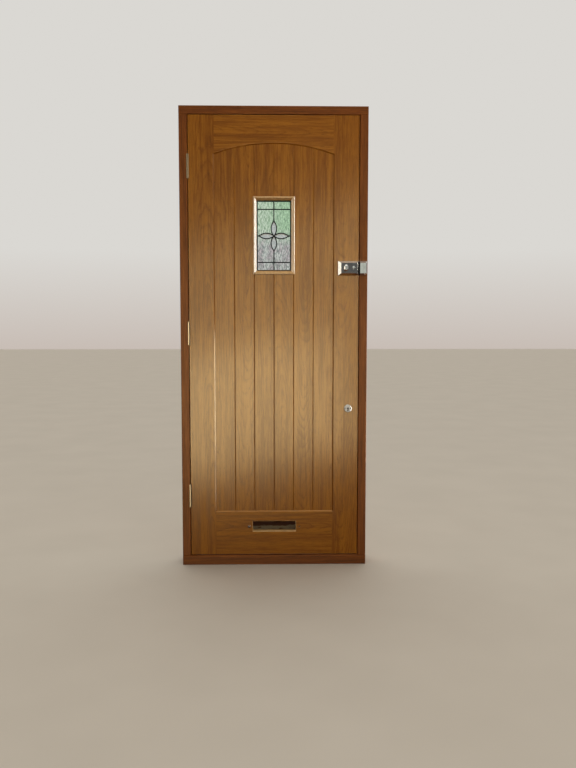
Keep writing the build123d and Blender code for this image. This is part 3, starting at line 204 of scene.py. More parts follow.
def new_material(name: str) -> tuple[Material, Tree, bpy.types.Node]:
    """Start a material with one principled shader.

    Args:
        name: Name of the material.

    Returns:
        The material, its node tree and its shader.
    """
    material = bpy.data.materials.new(name)
    material.use_nodes = True
    tree = material.node_tree
    tree.nodes.clear()
    shader = add_node(tree, "BsdfPrincipled")
    add_node(tree, "OutputMaterial", {"Surface": shader.outputs["BSDF"]})
    return material, tree, shader


# Patterns and finishes


@dataclass(frozen=True)
class Cloud:
    """Soft random pattern of a real size, drawn out along Z."""

    across_mm: float
    along_mm: float
    detail: float = 2.0
    roughness: float = 0.5

    def draw(
        self, tree: Tree, place: Signal, spread: Span = (0.0, 1.0), result: Span = (0.0, 1.0)
    ) -> Signal:
        """Draw the pattern.

        Args:
            tree: Node tree that takes the nodes.
            place: Coordinates in metres.
            spread: Part of the noise's range that is used, about one half.
            result: Values that its ends become.

        Returns:
            Output socket of the pattern.
        """
        across, along = 1 / (self.across_mm * MM), 1 / (self.along_mm * MM)
        drawn = add_node(tree, "Mapping", {"Vector": place, "Scale": (across, across, along)})
        form = {"Scale": 1.0, "Detail": self.detail, "Roughness": self.roughness}
        cloud = add_node(tree, "TexNoise", {"Vector": drawn.outputs[0], **form})
        held = dict(enumerate((cloud.outputs[0], *spread, *result)))
        return add_node(tree, "MapRange", held).outputs[0]


@dataclass(frozen=True)
class Member:
    """One wooden member: its grain and where the middle of its log lay."""

    node: str
    grain: Grain = Grain.UPRIGHT
    pith_across_mm: float = 10.0
    pith_behind_mm: float = 60.0
    lean_deg: float = 1.2
    seed: float = 0.0
    tone: float = 0.0


@dataclass(frozen=True)
class Timber:
    """Planed timber with growth rings, streaks and open pores under a clear or stained coat."""

    name: str
    light: str
    middle: str
    dark: str
    pore: str
    ring_mm: float
    ring_share: float
    broad: Cloud
    narrow: Cloud
    streak_share: float
    fibre: Cloud
    dashes: Cloud
    flecks: Cloud
    pore_share: float
    wander_mm: float
    roughness: float
    dulling: float
    specular: float
    sheen: str
    bump_mm: float
    bump_strength: float = 0.35
    seed_steps: tuple[float, float, float] = (1.7, 2.3, 3.1)
    wander_size_mm: tuple[float, float, float] = (90.0, 90.0, 420.0)
    side_lean: float = 0.2
    fade: Cloud = Cloud(60.0, 220.0, 1.0)
    fade_span: Span = (0.4, 0.6)
    faintest_share: float = 0.1
    # Part of a ring, and the values from the start to the end of that part
    early_wood: tuple[float, ...] = (0.0, 0.3, -1.0, 0.5)
    late_wood: tuple[float, ...] = (0.45, 1.0, 0.0, -0.6)
    pore_crowd: tuple[float, ...] = (0.0, 0.45, 1.0, 0.3)
    dash_span: Span = (0.56, 0.72)
    fleck_span: Span = (0.58, 0.7)

    def material(self, member: Member, centre: Vector) -> Material:
        """Draw the timber for one member.

        Args:
            member: Grain, log and tone of the member.
            centre: Middle of the member in metres.

        Returns:
            The material.
        """
        material, tree, shader = new_material(f"{self.name}_{member.node}_{member.grain.value}")
        place = self._grain_space(tree, member, centre)
        away = tuple(member.seed * step for step in self.seed_steps)
        moved = add_node(tree, "Mapping", {"Vector": place, "Location": away}).outputs[0]
        rings = self._rings(tree, place, moved, member)
        paleness = self._paleness(tree, moved, rings, member)
        stops = [(0.0, self.dark), (0.5, self.middle), (1.0, self.light)]
        planed = add_node(tree, "ValToRGB", {"Fac": paleness}, stops)
        pores = self._pores(tree, moved, rings)
        mixed = {0: pores, 6: planed.outputs[0], 7: to_linear(self.pore)}
        coloured = add_node(tree, "Mix", mixed, data_type="RGBA")
        held = {0: paleness, 3: self.roughness + self.dulling, 4: self.roughness}
        even = add_node(tree, "MapRange", held).outputs[0]
        dulled = {0: pores, 1: self.dulling, 2: even}
        rough = add_node(tree, "Math", dulled, operation="MULTIPLY_ADD")
        relief = {0: self.fibre.draw(tree, moved), 1: pores}
        height = add_node(tree, "Math", relief, operation="SUBTRACT").outputs[0]
        size = {"Strength": self.bump_strength, "Distance": self.bump_mm * MM}
        bump = add_node(tree, "Bump", {"Height": height, **size})
        finish = {
            "Base Color": coloured.outputs[2],
            "Roughness": rough.outputs[0],
            "Specular IOR Level": self.specular,
            "Specular Tint": to_linear(self.sheen),
            "Normal": bump.outputs[0],
        }
        feed(tree, shader, finish)
        return material

    def _grain_space(self, tree: Tree, member: Member, centre: Vector) -> Signal:
        """Turn space so that the member's grain runs along Z.

        Args:
            tree: Node tree that takes the nodes.
            member: The member.
            centre: Middle of the member in metres.

        Returns:
            Coordinates about the member's middle.
        """
        space = add_node(tree, "TexCoord").outputs["Object"]
        place = add_node(tree, "Mapping", {"Vector": space, "Location": tuple(-centre)}).outputs[0]
        if member.grain is Grain.UPRIGHT:
            return place
        x, y, z = add_node(tree, "SeparateXYZ", {0: place}).outputs
        return add_node(tree, "CombineXYZ", {0: z, 1: y, 2: x}).outputs[0]

    def _rings(self, tree: Tree, place: Signal, moved: Signal, member: Member) -> Signal:
        """Draw growth rings about the log's middle, sawn through by the faces of the member.

        Args:
            tree: Node tree that takes the nodes.
            place: Coordinates about the member's middle.
            moved: The same, moved by the member's seed.
            member: The member and its log.

        Returns:
            How far each ring has grown, from 0 to 1.
        """
        scale = tuple(1 / (size * MM) for size in self.wander_size_mm)
        drawn = add_node(tree, "Mapping", {"Vector": moved, "Scale": scale}).outputs[0]
        cloud = add_node(tree, "TexNoise", {"Vector": drawn, "Scale": 1.0, "Detail": 2.0})
        about = {0: cloud.outputs["Color"], 1: (0.5, 0.5, 0.5)}
        lifted = add_node(tree, "VectorMath", about, operation="SUBTRACT").outputs[0]
        reach = self.wander_mm * MM
        pushed = {0: lifted, 1: (reach, reach, 0.0), 2: place}
        wander = add_node(tree, "VectorMath", pushed, operation="MULTIPLY_ADD").outputs[0]
        lean = math.radians(member.lean_deg)
        pith = (-member.pith_across_mm * MM, -member.pith_behind_mm * MM, 0.0)
        turn = (lean, lean * self.side_lean, 0.0)
        sawn = {"Vector": wander, "Location": pith, "Rotation": turn}
        log = add_node(tree, "Mapping", sawn).outputs[0]
        form = {
            "Vector": log, "Scale": math.pi / (10 * self.ring_mm * MM),
            "Distortion": 1.6, "Detail": 2.0, "Detail Scale": 1.7, "Detail Roughness": 0.55,
        }
        kind = {"wave_type": "RINGS", "rings_direction": "Z", "wave_profile": "SAW"}
        return add_node(tree, "TexWave", form, **kind).outputs["Fac"]

    def _paleness(self, tree: Tree, moved: Signal, rings: Signal, member: Member) -> Signal:
        """Let the rings fade in and out, and lay streaks and fibre over them.

        Args:
            tree: Node tree that takes the nodes.
            moved: Coordinates moved by the member's seed.
            rings: How far each ring has grown.
            member: The member and its tone.

        Returns:
            How pale the wood is, from 0 to 1.
        """
        early, late = (
            add_node(tree, "MapRange", dict(enumerate((rings, *part)))).outputs[0]
            for part in (self.early_wood, self.late_wood)
        )
        whole = add_node(tree, "Math", {0: early, 1: late}, operation="ADD").outputs[0]
        strength = (self.faintest_share, self.ring_share)
        layers = [(whole, self.fade.draw(tree, moved, self.fade_span, strength))]
        for cloud in (self.broad, self.narrow, self.fibre):
            layers.append((cloud.draw(tree, moved, NOISE_SPAN, BOTH_WAYS), self.streak_share))
        paleness: Any = 0.5 + member.tone
        for layer, share in layers:
            held = {0: layer, 1: share, 2: paleness}
            paleness = add_node(tree, "Math", held, operation="MULTIPLY_ADD").outputs[0]
        return paleness

    def _pores(self, tree: Tree, moved: Signal, rings: Signal) -> Signal:
        """Draw dark dashes of the open pores, crowded in the early wood of each ring.

        Args:
            tree: Node tree that takes the nodes.
            moved: Coordinates moved by the member's seed.
            rings: How far each ring has grown.

        Returns:
            Share of the pore's colour, from 0 to 1.
        """
        crowd = dict(enumerate((rings, *self.pore_crowd)))
        early = add_node(tree, "MapRange", crowd).outputs[0]
        depth = (0.0, self.pore_share)
        dashes = self.dashes.draw(tree, moved, self.dash_span, depth)
        flecks = self.flecks.draw(tree, moved, self.fleck_span, depth)
        both = add_node(tree, "Math", {0: dashes, 1: flecks}, operation="MAXIMUM").outputs[0]
        return add_node(tree, "Math", {0: both, 1: early}, operation="MULTIPLY").outputs[0]


# Satin varnish leaves oak warm: fine upright streaks, faint arches of rings and dark dashes of
# pores, which lie open and shine less. The coat is amber, so what it mirrors turns yellow.
# Dashes and flecks are drawn a little coarser than real pores, so that they show
SATIN_OAK = Timber(
    name="satin_oak", light="#87561A", middle="#784813", dark="#65380A", pore="#482807",
    ring_mm=4.2, ring_share=0.45,
    broad=Cloud(30.0, 700.0), narrow=Cloud(6.5, 170.0), streak_share=0.4,
    fibre=Cloud(2.4, 60.0, 3.0, 0.6),
    dashes=Cloud(1.2, 18.0, 1.0), flecks=Cloud(3.4, 34.0, 2.0, 0.6), pore_share=0.85,
    wander_mm=26.0, roughness=0.17, dulling=0.04, specular=0.36, sheen="#FFEEBC", bump_mm=0.1,
)

# Newly planed oak beads are a little paler than the leaf and almost without figure
PALE_OAK = Timber(
    name="pale_oak", light="#AC8856", middle="#9E7845", dark="#876434", pore="#5C3E18",
    ring_mm=3.5, ring_share=0.3,
    broad=Cloud(11.0, 250.0), narrow=Cloud(2.2, 60.0), streak_share=0.3,
    fibre=Cloud(1.3, 50.0, 3.0, 0.6),
    dashes=Cloud(0.7, 10.0, 1.0), flecks=Cloud(1.8, 26.0, 2.0, 0.6), pore_share=0.35,
    wander_mm=12.0, roughness=0.3, dulling=0.1, specular=0.8, sheen="#FFF6DC", bump_mm=0.08,
)

# Freshly sawn oak without varnish: dry, pale and fibrous
RAW_OAK = Timber(
    name="raw_sawn_oak", light="#C9A97C", middle="#B08F62", dark="#8B6D44", pore="#503A20",
    ring_mm=5.0, ring_share=0.4,
    broad=Cloud(9.0, 200.0), narrow=Cloud(1.8, 48.0), streak_share=0.4,
    fibre=Cloud(1.0, 30.0, 3.0, 0.6),
    dashes=Cloud(0.8, 8.0, 1.0), flecks=Cloud(2.0, 20.0, 2.0, 0.6), pore_share=0.5,
    wander_mm=10.0, roughness=0.72, dulling=0.1, specular=0.2, sheen="#FFFFFF", bump_mm=0.35,
)

# A red-brown stain closes the grain of the frame and leaves thin straight streaks
STAINED_HARDWOOD = Timber(
    name="stained_hardwood", light="#6C3A14", middle="#5A2D0E", dark="#45200A", pore="#281206",
    ring_mm=5.0, ring_share=0.3,
    broad=Cloud(16.0, 380.0), narrow=Cloud(3.2, 90.0), streak_share=0.34,
    fibre=Cloud(1.4, 50.0, 3.0, 0.6),
    dashes=Cloud(0.6, 12.0, 1.0), flecks=Cloud(1.6, 30.0, 2.0, 0.6), pore_share=0.5,
    wander_mm=16.0, roughness=0.36, dulling=0.08, specular=0.22, sheen="#FFCE98", bump_mm=0.08,
)


@dataclass(frozen=True)
class Metal:
    """Solid or plated metal with a slight unevenness of its sheen."""

    name: str
    colour: str
    roughness: float
    spread: float
    patch_mm: float
    drawn: float = 1.0
    worn: str = ""
    bump_mm: float = 0.0
    bump_strength: float = 0.4
    dull_share: float = 0.12
    dull_until: float = 0.3
    clean_from: float = 0.62

    def material(self) -> Material:
        """Draw the metal.

        Returns:
            The material.
        """
        material, tree, shader = new_material(self.name)
        place = add_node(tree, "TexCoord").outputs["Object"]
        cloud = Cloud(self.patch_mm, self.patch_mm * self.drawn, 3.0, 0.6)
        sheen = (self.roughness - self.spread, self.roughness + self.spread)
        rough = cloud.draw(tree, place, NOISE_SPAN, sheen)
        patches = cloud.draw(tree, place)
        dull = self.worn or blend_hex(self.colour, BLACK, self.dull_share)
        stops = [(self.dull_until, dull), (self.clean_from, self.colour)]
        tones = add_node(tree, "ValToRGB", {"Fac": patches}, stops).outputs[0]
        feed(tree, shader, {"Metallic": 1.0, "Roughness": rough, "Base Color": tones})
        if self.bump_mm:
            size = {"Strength": self.bump_strength, "Distance": self.bump_mm * MM}
            bump = add_node(tree, "Bump", {"Height": patches, **size})
            feed(tree, shader, {"Normal": bump.outputs[0]})
        return material


# Chrome on a polished casting mirrors the room, with faint smears from hands
POLISHED_CHROME = Metal("polished_chrome", "#D9DBDA", 0.08, 0.04, 9.0)
# Chrome on pressed plate is a little wavier and hazier than on the casting
PLATE_CHROME = Metal("plate_chrome", "#CFD1CF", 0.16, 0.06, 14.0)
# Zinc-plated pressed steel of the hinges: dulled, satin, drawn along its length
SATIN_STEEL = Metal("satin_steel", "#8E836C", 0.42, 0.07, 2.0, drawn=14.0, bump_mm=0.02)
# Plated steel of the screws: bright, with tiny scuffs from fitting
BRIGHT_SCREW = Metal("bright_screw_steel", "#BDB9B0", 0.24, 0.06, 1.5)
# Rolled steel of the lock cases and works: plain grey, faintly streaked and never polished
LOCK_STEEL = Metal("lock_steel", "#8E8B85", 0.42, 0.08, 6.0, drawn=3.0, bump_mm=0.02)
# Ground steel of the bolts: brighter, with streaks along the way that they slide
BOLT_STEEL = Metal("bolt_steel", "#B5B2AA", 0.2, 0.06, 3.0, drawn=8.0)
# Hard drawn spring wire: smooth, grey and a little shiny
SPRING_STEEL = Metal("spring_steel", "#9A9792", 0.28, 0.05, 2.0)
# Machined brass of the cylinder, tarnished in patches
CYLINDER_BRASS = Metal("cylinder_brass", "#C9A35A", 0.2, 0.06, 5.0, worn="#A98442")
# Lead darkens to a matt slate grey within months, and scrapes back to a dull sheen
PATINATED_LEAD = Metal("patinated_lead", "#2B3232", 0.5, 0.08, 3.0, worn="#191D1E", bump_mm=0.15)
# Solder is tinned brighter and smoother than the lead beside it
SOLDER = Metal("solder", "#4A5152", 0.36, 0.08, 2.0, worn="#30363A", bump_mm=0.08)


@dataclass(frozen=True)
class PaintedReflectionFlapBack:
    """Back of the flap with painted light: a painted reflection of the brown mat above and a
    painted pale grey highlight along its foot.
    """

    name: str = "flap_back_painted_reflection"
    painted_reflection_colour: str = "#5A3A20"
    middle: str = "#6E5246"
    painted_highlight_colour: str = "#A3A394"
    foot_z_mm: float = 168.0
    top_z_mm: float = 196.0
    middle_from: float = 0.16
    middle_to: float = 0.7
    waves: Cloud = Cloud(40.0, 9.0, 3.0, 0.6)
    wave_share: Span = (-0.3, 0.3)
    metallic: float = 0.7
    roughness: float = 0.4

    def material(self) -> Material:
        """Draw the metal.

        Returns:
            The material.
        """
        material, tree, shader = new_material(self.name)
        place = add_node(tree, "TexCoord").outputs["Object"]
        level = add_node(tree, "SeparateXYZ", {0: place}).outputs["Z"]
        held = {0: level, 1: self.foot_z_mm * MM, 2: self.top_z_mm * MM}
        rise = add_node(tree, "MapRange", held).outputs[0]
        wavy = self.waves.draw(tree, place, NOISE_SPAN, self.wave_share)
        height = add_node(tree, "Math", {0: rise, 1: wavy}, operation="ADD").outputs[0]
        # Colour by height is painted light: the pale grey foot is a painted highlight, the browns
        # above are a painted reflection
        band = [(self.middle_from, self.middle), (self.middle_to, self.middle)]
        stops = [(0.0, self.painted_highlight_colour), *band, (1.0, self.painted_reflection_colour)]
        tones = add_node(tree, "ValToRGB", {"Fac": height}, stops).outputs[0]
        finish = {"Base Color": tones, "Metallic": self.metallic, "Roughness": self.roughness}
        feed(tree, shader, finish)
        return material


@dataclass(frozen=True)
class ExtrudedRubber:
    """Black rubber of the weather seal: matt, with a grey bloom along its length."""

    name: str = "extruded_rubber"
    colour: str = "#17181A"
    bloom: str = "#2B2D30"
    patches: Cloud = Cloud(3.0, 60.0)
    bloom_span: Span = (0.35, 0.8)
    roughness: float = 0.62

    def material(self) -> Material:
        """Draw the rubber.

        Returns:
            The material.
        """
        material, tree, shader = new_material(self.name)
        place = add_node(tree, "TexCoord").outputs["Object"]
        stops = list(zip(self.bloom_span, (self.colour, self.bloom)))
        tones = add_node(tree, "ValToRGB", {"Fac": self.patches.draw(tree, place)}, stops)
        feed(tree, shader, {"Base Color": tones.outputs[0], "Roughness": self.roughness})
        return material


@dataclass(frozen=True)
class StreakyGlass:
    """Hand-rolled glass of the quarries: upright ripples, and a painted view of the outdoors
    through it, green above and grey-mauve below.
    """

    name: str = "streaky_glass"
    green: str = "#EAFFEC"
    deep_green: str = "#CDF4D0"
    green_ripple: str = "#93B898"
    grey: str = "#F0F8F6"
    mauve: str = "#DDD6DC"
    grey_ripple: str = "#7F8C8B"
    turn_z_mm: float = 1497.0
    turn_reach_mm: float = 40.0
    side_reach_mm: float = 45.0
    ripple: Cloud = Cloud(4.2, 17.0, 3.0, 0.6)
    ripple_span: Span = (0.38, 0.56)
    mottle: Cloud = Cloud(24.0, 34.0, 1.0)
    mottle_span: Span = (0.42, 0.6)
    roughness: float = 0.12
    bump_strength: float = 0.5
    bump_mm: float = 0.5

    def material(self) -> Material:
        """Draw the glass.

        Returns:
            The material.
        """
        material, tree, shader = new_material(self.name)
        place = add_node(tree, "TexCoord").outputs["Object"]
        x, _, z = add_node(tree, "SeparateXYZ", {0: place}).outputs
        side = self.side_reach_mm * MM
        across = add_node(tree, "MapRange", {0: x, 1: -side, 2: side}).outputs[0]
        low, high = (self.turn_z_mm + sign * self.turn_reach_mm for sign in (-1, 1))
        rise = add_node(tree, "MapRange", {0: z, 1: low * MM, 2: high * MM}).outputs[0]
        mottled = self.mottle.draw(tree, place, self.mottle_span)
        ripple = self.ripple.draw(tree, place, self.ripple_span)
        # The colours are painted light, the blurred outdoors seen through the clear glass: green
        # above, grey-mauve below, deeper green towards +X, and painted darker where the ripples are
        # low
        melts = []
        for share, first, second, painted_ripple_shade in (
            (mottled, self.grey, self.mauve, self.grey_ripple),
            (across, self.green, self.deep_green, self.green_ripple),
        ):
            melt = add_node(tree, "ValToRGB", {"Fac": share}, [(0.0, first), (1.0, second)])
            held = {0: ripple, 6: to_linear(painted_ripple_shade), 7: melt.outputs[0]}
            melts.append(add_node(tree, "Mix", held, data_type="RGBA").outputs[2])
        held = {0: rise, 6: melts[0], 7: melts[1]}
        colour = add_node(tree, "Mix", held, data_type="RGBA").outputs[2]
        size = {"Strength": self.bump_strength, "Distance": self.bump_mm * MM}
        bump = add_node(tree, "Bump", {"Height": ripple, **size}).outputs[0]
        clear = {"Transmission Weight": 1.0, "Roughness": self.roughness}
        feed(tree, shader, {"Base Color": colour, "Normal": bump, **clear})
        return material


@dataclass(frozen=True)
class BevelledGlass:
    """Clear polished plate of the petals, whose ground facets carry painted light: a painted
    highlight on facets leaning one way and a painted shade on those leaning the other.
    """

    name: str = "bevelled_glass"
    bright: str = "#FFFFFF"
    shaded: str = "#A3B6B6"
    haze: Cloud = Cloud(8.0, 8.0)
    haze_share: Span = (-0.25, 0.25)
    painted_highlight_tilt: float = -0.45
    painted_shade_tilt: float = 0.35
    roughness: float = 0.03

    def material(self) -> Material:
        """Draw the glass.

        Returns:
            The material.
        """
        material, tree, shader = new_material(self.name)
        space = add_node(tree, "TexCoord").outputs
        # Painted light: facets whose normal leans towards -X and downwards get the painted
        # highlight, those leaning towards +X and upwards get the painted shade
        x, _, z = add_node(tree, "SeparateXYZ", {0: space["Normal"]}).outputs
        slope = add_node(tree, "Math", {0: x, 1: z}, operation="ADD").outputs[0]
        haze = self.haze.draw(tree, space["Object"], NOISE_SPAN, self.haze_share)
        tilt = add_node(tree, "Math", {0: slope, 1: haze}, operation="ADD").outputs[0]
        held = {0: tilt, 1: self.painted_highlight_tilt, 2: self.painted_shade_tilt}
        painted_facet_light = add_node(tree, "MapRange", held).outputs[0]
        tones = add_node(tree, "ValToRGB", {"Fac": painted_facet_light}, [(0.0, self.bright), (1.0, self.shaded)])
        clear = {"Transmission Weight": 1.0, "Roughness": self.roughness}
        feed(tree, shader, {"Base Color": tones.outputs[0], **clear})
        return material


# Meshes


def lit_pieces(reach: Reach) -> bpy.types.Collection:
    """Collection of the pieces that a lamp with a narrow reach lights."""
    name = f"lit_{reach.value}"
    return bpy.data.collections.get(name) or bpy.data.collections.new(name)


def put(name: str, shape: Shape, materials: Sequence[Material]) -> Piece:
    """Turn a bmesh to an object in the scene.

    Args:
        name: Name of the object.
        shape: Finished bmesh, which is freed.
        materials: Materials in the order of the faces' material numbers.

    Returns:
        The new object.
    """
    mesh = bpy.data.meshes.new(name)
    for face in shape.faces:
        face.smooth = True
    shape.to_mesh(mesh)
    shape.free()
    mesh.set_sharp_from_angle(angle=math.radians(SHARP_DEG))
    for material in materials:
        mesh.materials.append(material)
    piece = bpy.data.objects.new(name, mesh)
    bpy.context.scene.collection.objects.link(piece)
    return piece


def solid_of(node: str, frame: dict[str, Any]) -> Shape:
    """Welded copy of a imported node, with its flat faces whole.

    Args:
        node: Name of the node.
        frame: The loaded frame.

    Returns:
        The copy as a bmesh.
    """
    mesh = frame["nodes"][node].data.copy()
    custom = mesh.attributes.get("custom_normal")
    if custom:
        mesh.attributes.remove(custom)
    shape = bmesh.new()
    shape.from_mesh(mesh)
    bpy.data.meshes.remove(mesh)
    bmesh.ops.remove_doubles(shape, verts=shape.verts, dist=WELD)
    bmesh.ops.dissolve_limit(
        shape, angle_limit=math.radians(FLAT_DEG), verts=shape.verts, edges=shape.edges
    )
    for face in shape.faces:
        face.smooth = True
        face.material_index = 0
    return shape


def rounded(piece: Piece, arris_mm: float, steps: int = 2) -> Piece:
    """Round the arrises of a piece and give it clean shading.

    Args:
        piece: Object with sharp edges.
        arris_mm: Radius of the rounding.
        steps: Facets across each arris.

    Returns:
        The same object, with its modifiers applied.
    """
    bevel = piece.modifiers.new("arris", "BEVEL")
    bevel.width = arris_mm * MM
    bevel.segments = steps
    bevel.limit_method = "ANGLE"
    bevel.angle_limit = math.radians(SHARP_DEG)
    bevel.harden_normals = True
    bevel.use_clamp_overlap = True
    weighted = piece.modifiers.new("flats", "WEIGHTED_NORMAL")
    weighted.keep_sharp = True
    graph = bpy.context.evaluated_depsgraph_get()
    finished = bpy.data.meshes.new_from_object(piece.evaluated_get(graph))
    piece.modifiers.clear()
    piece.data = finished
    return piece


def islands(shape: Shape) -> list[list[Face]]:
    """Split a bmesh into its separate solids.

    Args:
        shape: Bmesh with one or more solids.

    Returns:
        The faces of each solid.
    """
    seen: set[Face] = set()
    found = []
    for start in shape.faces:
        if start in seen:
            continue
        seen.add(start)
        group, queue = [], [start]
        while queue:
            face = queue.pop()
            group.append(face)
            for edge in face.edges:
                for other in edge.link_faces:
                    if other not in seen:
                        seen.add(other)
                        queue.append(other)
        found.append(group)
    return found


def extent(faces: Iterable[Face]) -> tuple[Vector, Vector]:
    """Measure some faces.

    Args:
        faces: Faces of one bmesh.

    Returns:
        Their lowest and their highest corner.
    """
    points = [vert.co for face in faces for vert in face.verts]
    low = Vector([min(point[i] for point in points) for i in range(3)])
    high = Vector([max(point[i] for point in points) for i in range(3)])
    return low, high


def circle(
    middle: Vector, first: Vector, second: Vector, radius: float, sides: int
) -> list[Vector]:
    """Find the points of a circle.

    Args:
        middle: Middle of the circle.
        first: Unit vector to its first point.
        second: Unit vector square to the first.
        radius: Radius of the circle.
        sides: Number of points.

    Returns:
        The points in order.
    """
    turns = [k * math.tau / sides for k in range(sides)]
    return [middle + (first * math.cos(turn) + second * math.sin(turn)) * radius for turn in turns]


def loft(
    shape: Shape, rows: Sequence[Sequence[Vector]], caps: tuple[bool, bool] = (True, True)
) -> list[list[Vert]]:
    """Stretch a skin over rows of points.

    Args:
        shape: Bmesh that takes the skin.
        rows: Rings of points, one after another, with as many points in each.
        caps: Whether a face closes the first and the last ring.

    Returns:
        The new points, ring by ring.
    """
    rings = [[shape.verts.new(point) for point in row] for row in rows]
    for last, now in zip(rings, rings[1:]):
        for k in range(len(now)):
            shape.faces.new((last[k - 1], last[k], now[k], now[k - 1]))
    for ring, closed in ((rings[0], caps[0]), (rings[-1], caps[1])):
        if closed:
            shape.faces.new(ring)
    return rings


def coil(
    shape: Shape, start: Vector, end: Vector, radius: float, wire: float, spacing: float
) -> None:
    """Add a helical spring to a bmesh.

    Args:
        shape: Bmesh that takes the spring.
        start: Middle of its first turn.
        end: Middle of its last turn.
        radius: Radius at the middle of the wire.
        wire: Radius of the wire.
        spacing: Distance from turn to turn, in radii of the wire.
    """
    axis = (end - start).normalized()
    side = axis.orthogonal().normalized()
    other = axis.cross(side)
    count = int((end - start).length / (spacing * wire)) * COIL_STEPS
    rows = []
    for i in range(count + 1):
        angle = i * math.tau / COIL_STEPS
        out = side * math.cos(angle) + other * math.sin(angle)
        middle = start.lerp(end, i / count) + out * radius
        rows.append(circle(middle, out, axis, wire, WIRE_SIDES))
    loft(shape, rows)


# Screws


@dataclass(frozen=True)
class ScrewPlace:
    """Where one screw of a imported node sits."""

    head: Vector
    direction: Vector
    length: float
    head_radius: float
    shank_radius: float

    def matrix(self) -> Matrix:
        """Matrix that puts a screw drawn down -Z at its place."""
        turn = Vector((0, 0, -1)).rotation_difference(self.direction)
        return Matrix.Translation(self.head) @ turn.to_matrix().to_4x4()


def screw_places(node: str, frame: dict[str, Any]) -> list[ScrewPlace]:
    """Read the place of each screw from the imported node.

    Args:
        node: Node that holds a group of screws.
        frame: The loaded frame.

    Returns:
        One place for each screw.
    """
    shape = solid_of(node, frame)
    places = []
    for faces in islands(shape):
        low, high = extent(faces)
        size = high - low
        axis = min(range(3), key=lambda i: abs(size[i - 1] - size[i - 2]))
        middle = (low + high) / 2
        reaches = []
        for point in {vert.co.copy().freeze() for face in faces for vert in face.verts}:
            off = point - middle
            reaches.append((point[axis], math.hypot(*[off[i] for i in range(3) if i != axis])))
        ends = {
            side: max(reach for at, reach in reaches if abs(at - level) < END_SLACK)
            for side, level in ((-1, low[axis]), (1, high[axis]))
        }
        side = max(ends, key=lambda key: ends[key])
        direction = Vector([0.0, 0.0, 0.0])
        direction[axis] = -side
        head = middle.copy()
        head[axis] = high[axis] if side > 0 else low[axis]
        least, most = (share * ends[side] for share in SHANK_SHARES)
        between = sorted(reach for _, reach in reaches if least < reach < most)
        shank = between[0] if between else ends[side] / 2
        places.append(ScrewPlace(head, direction, size[axis], ends[side], shank))
    shape.free()
    return places


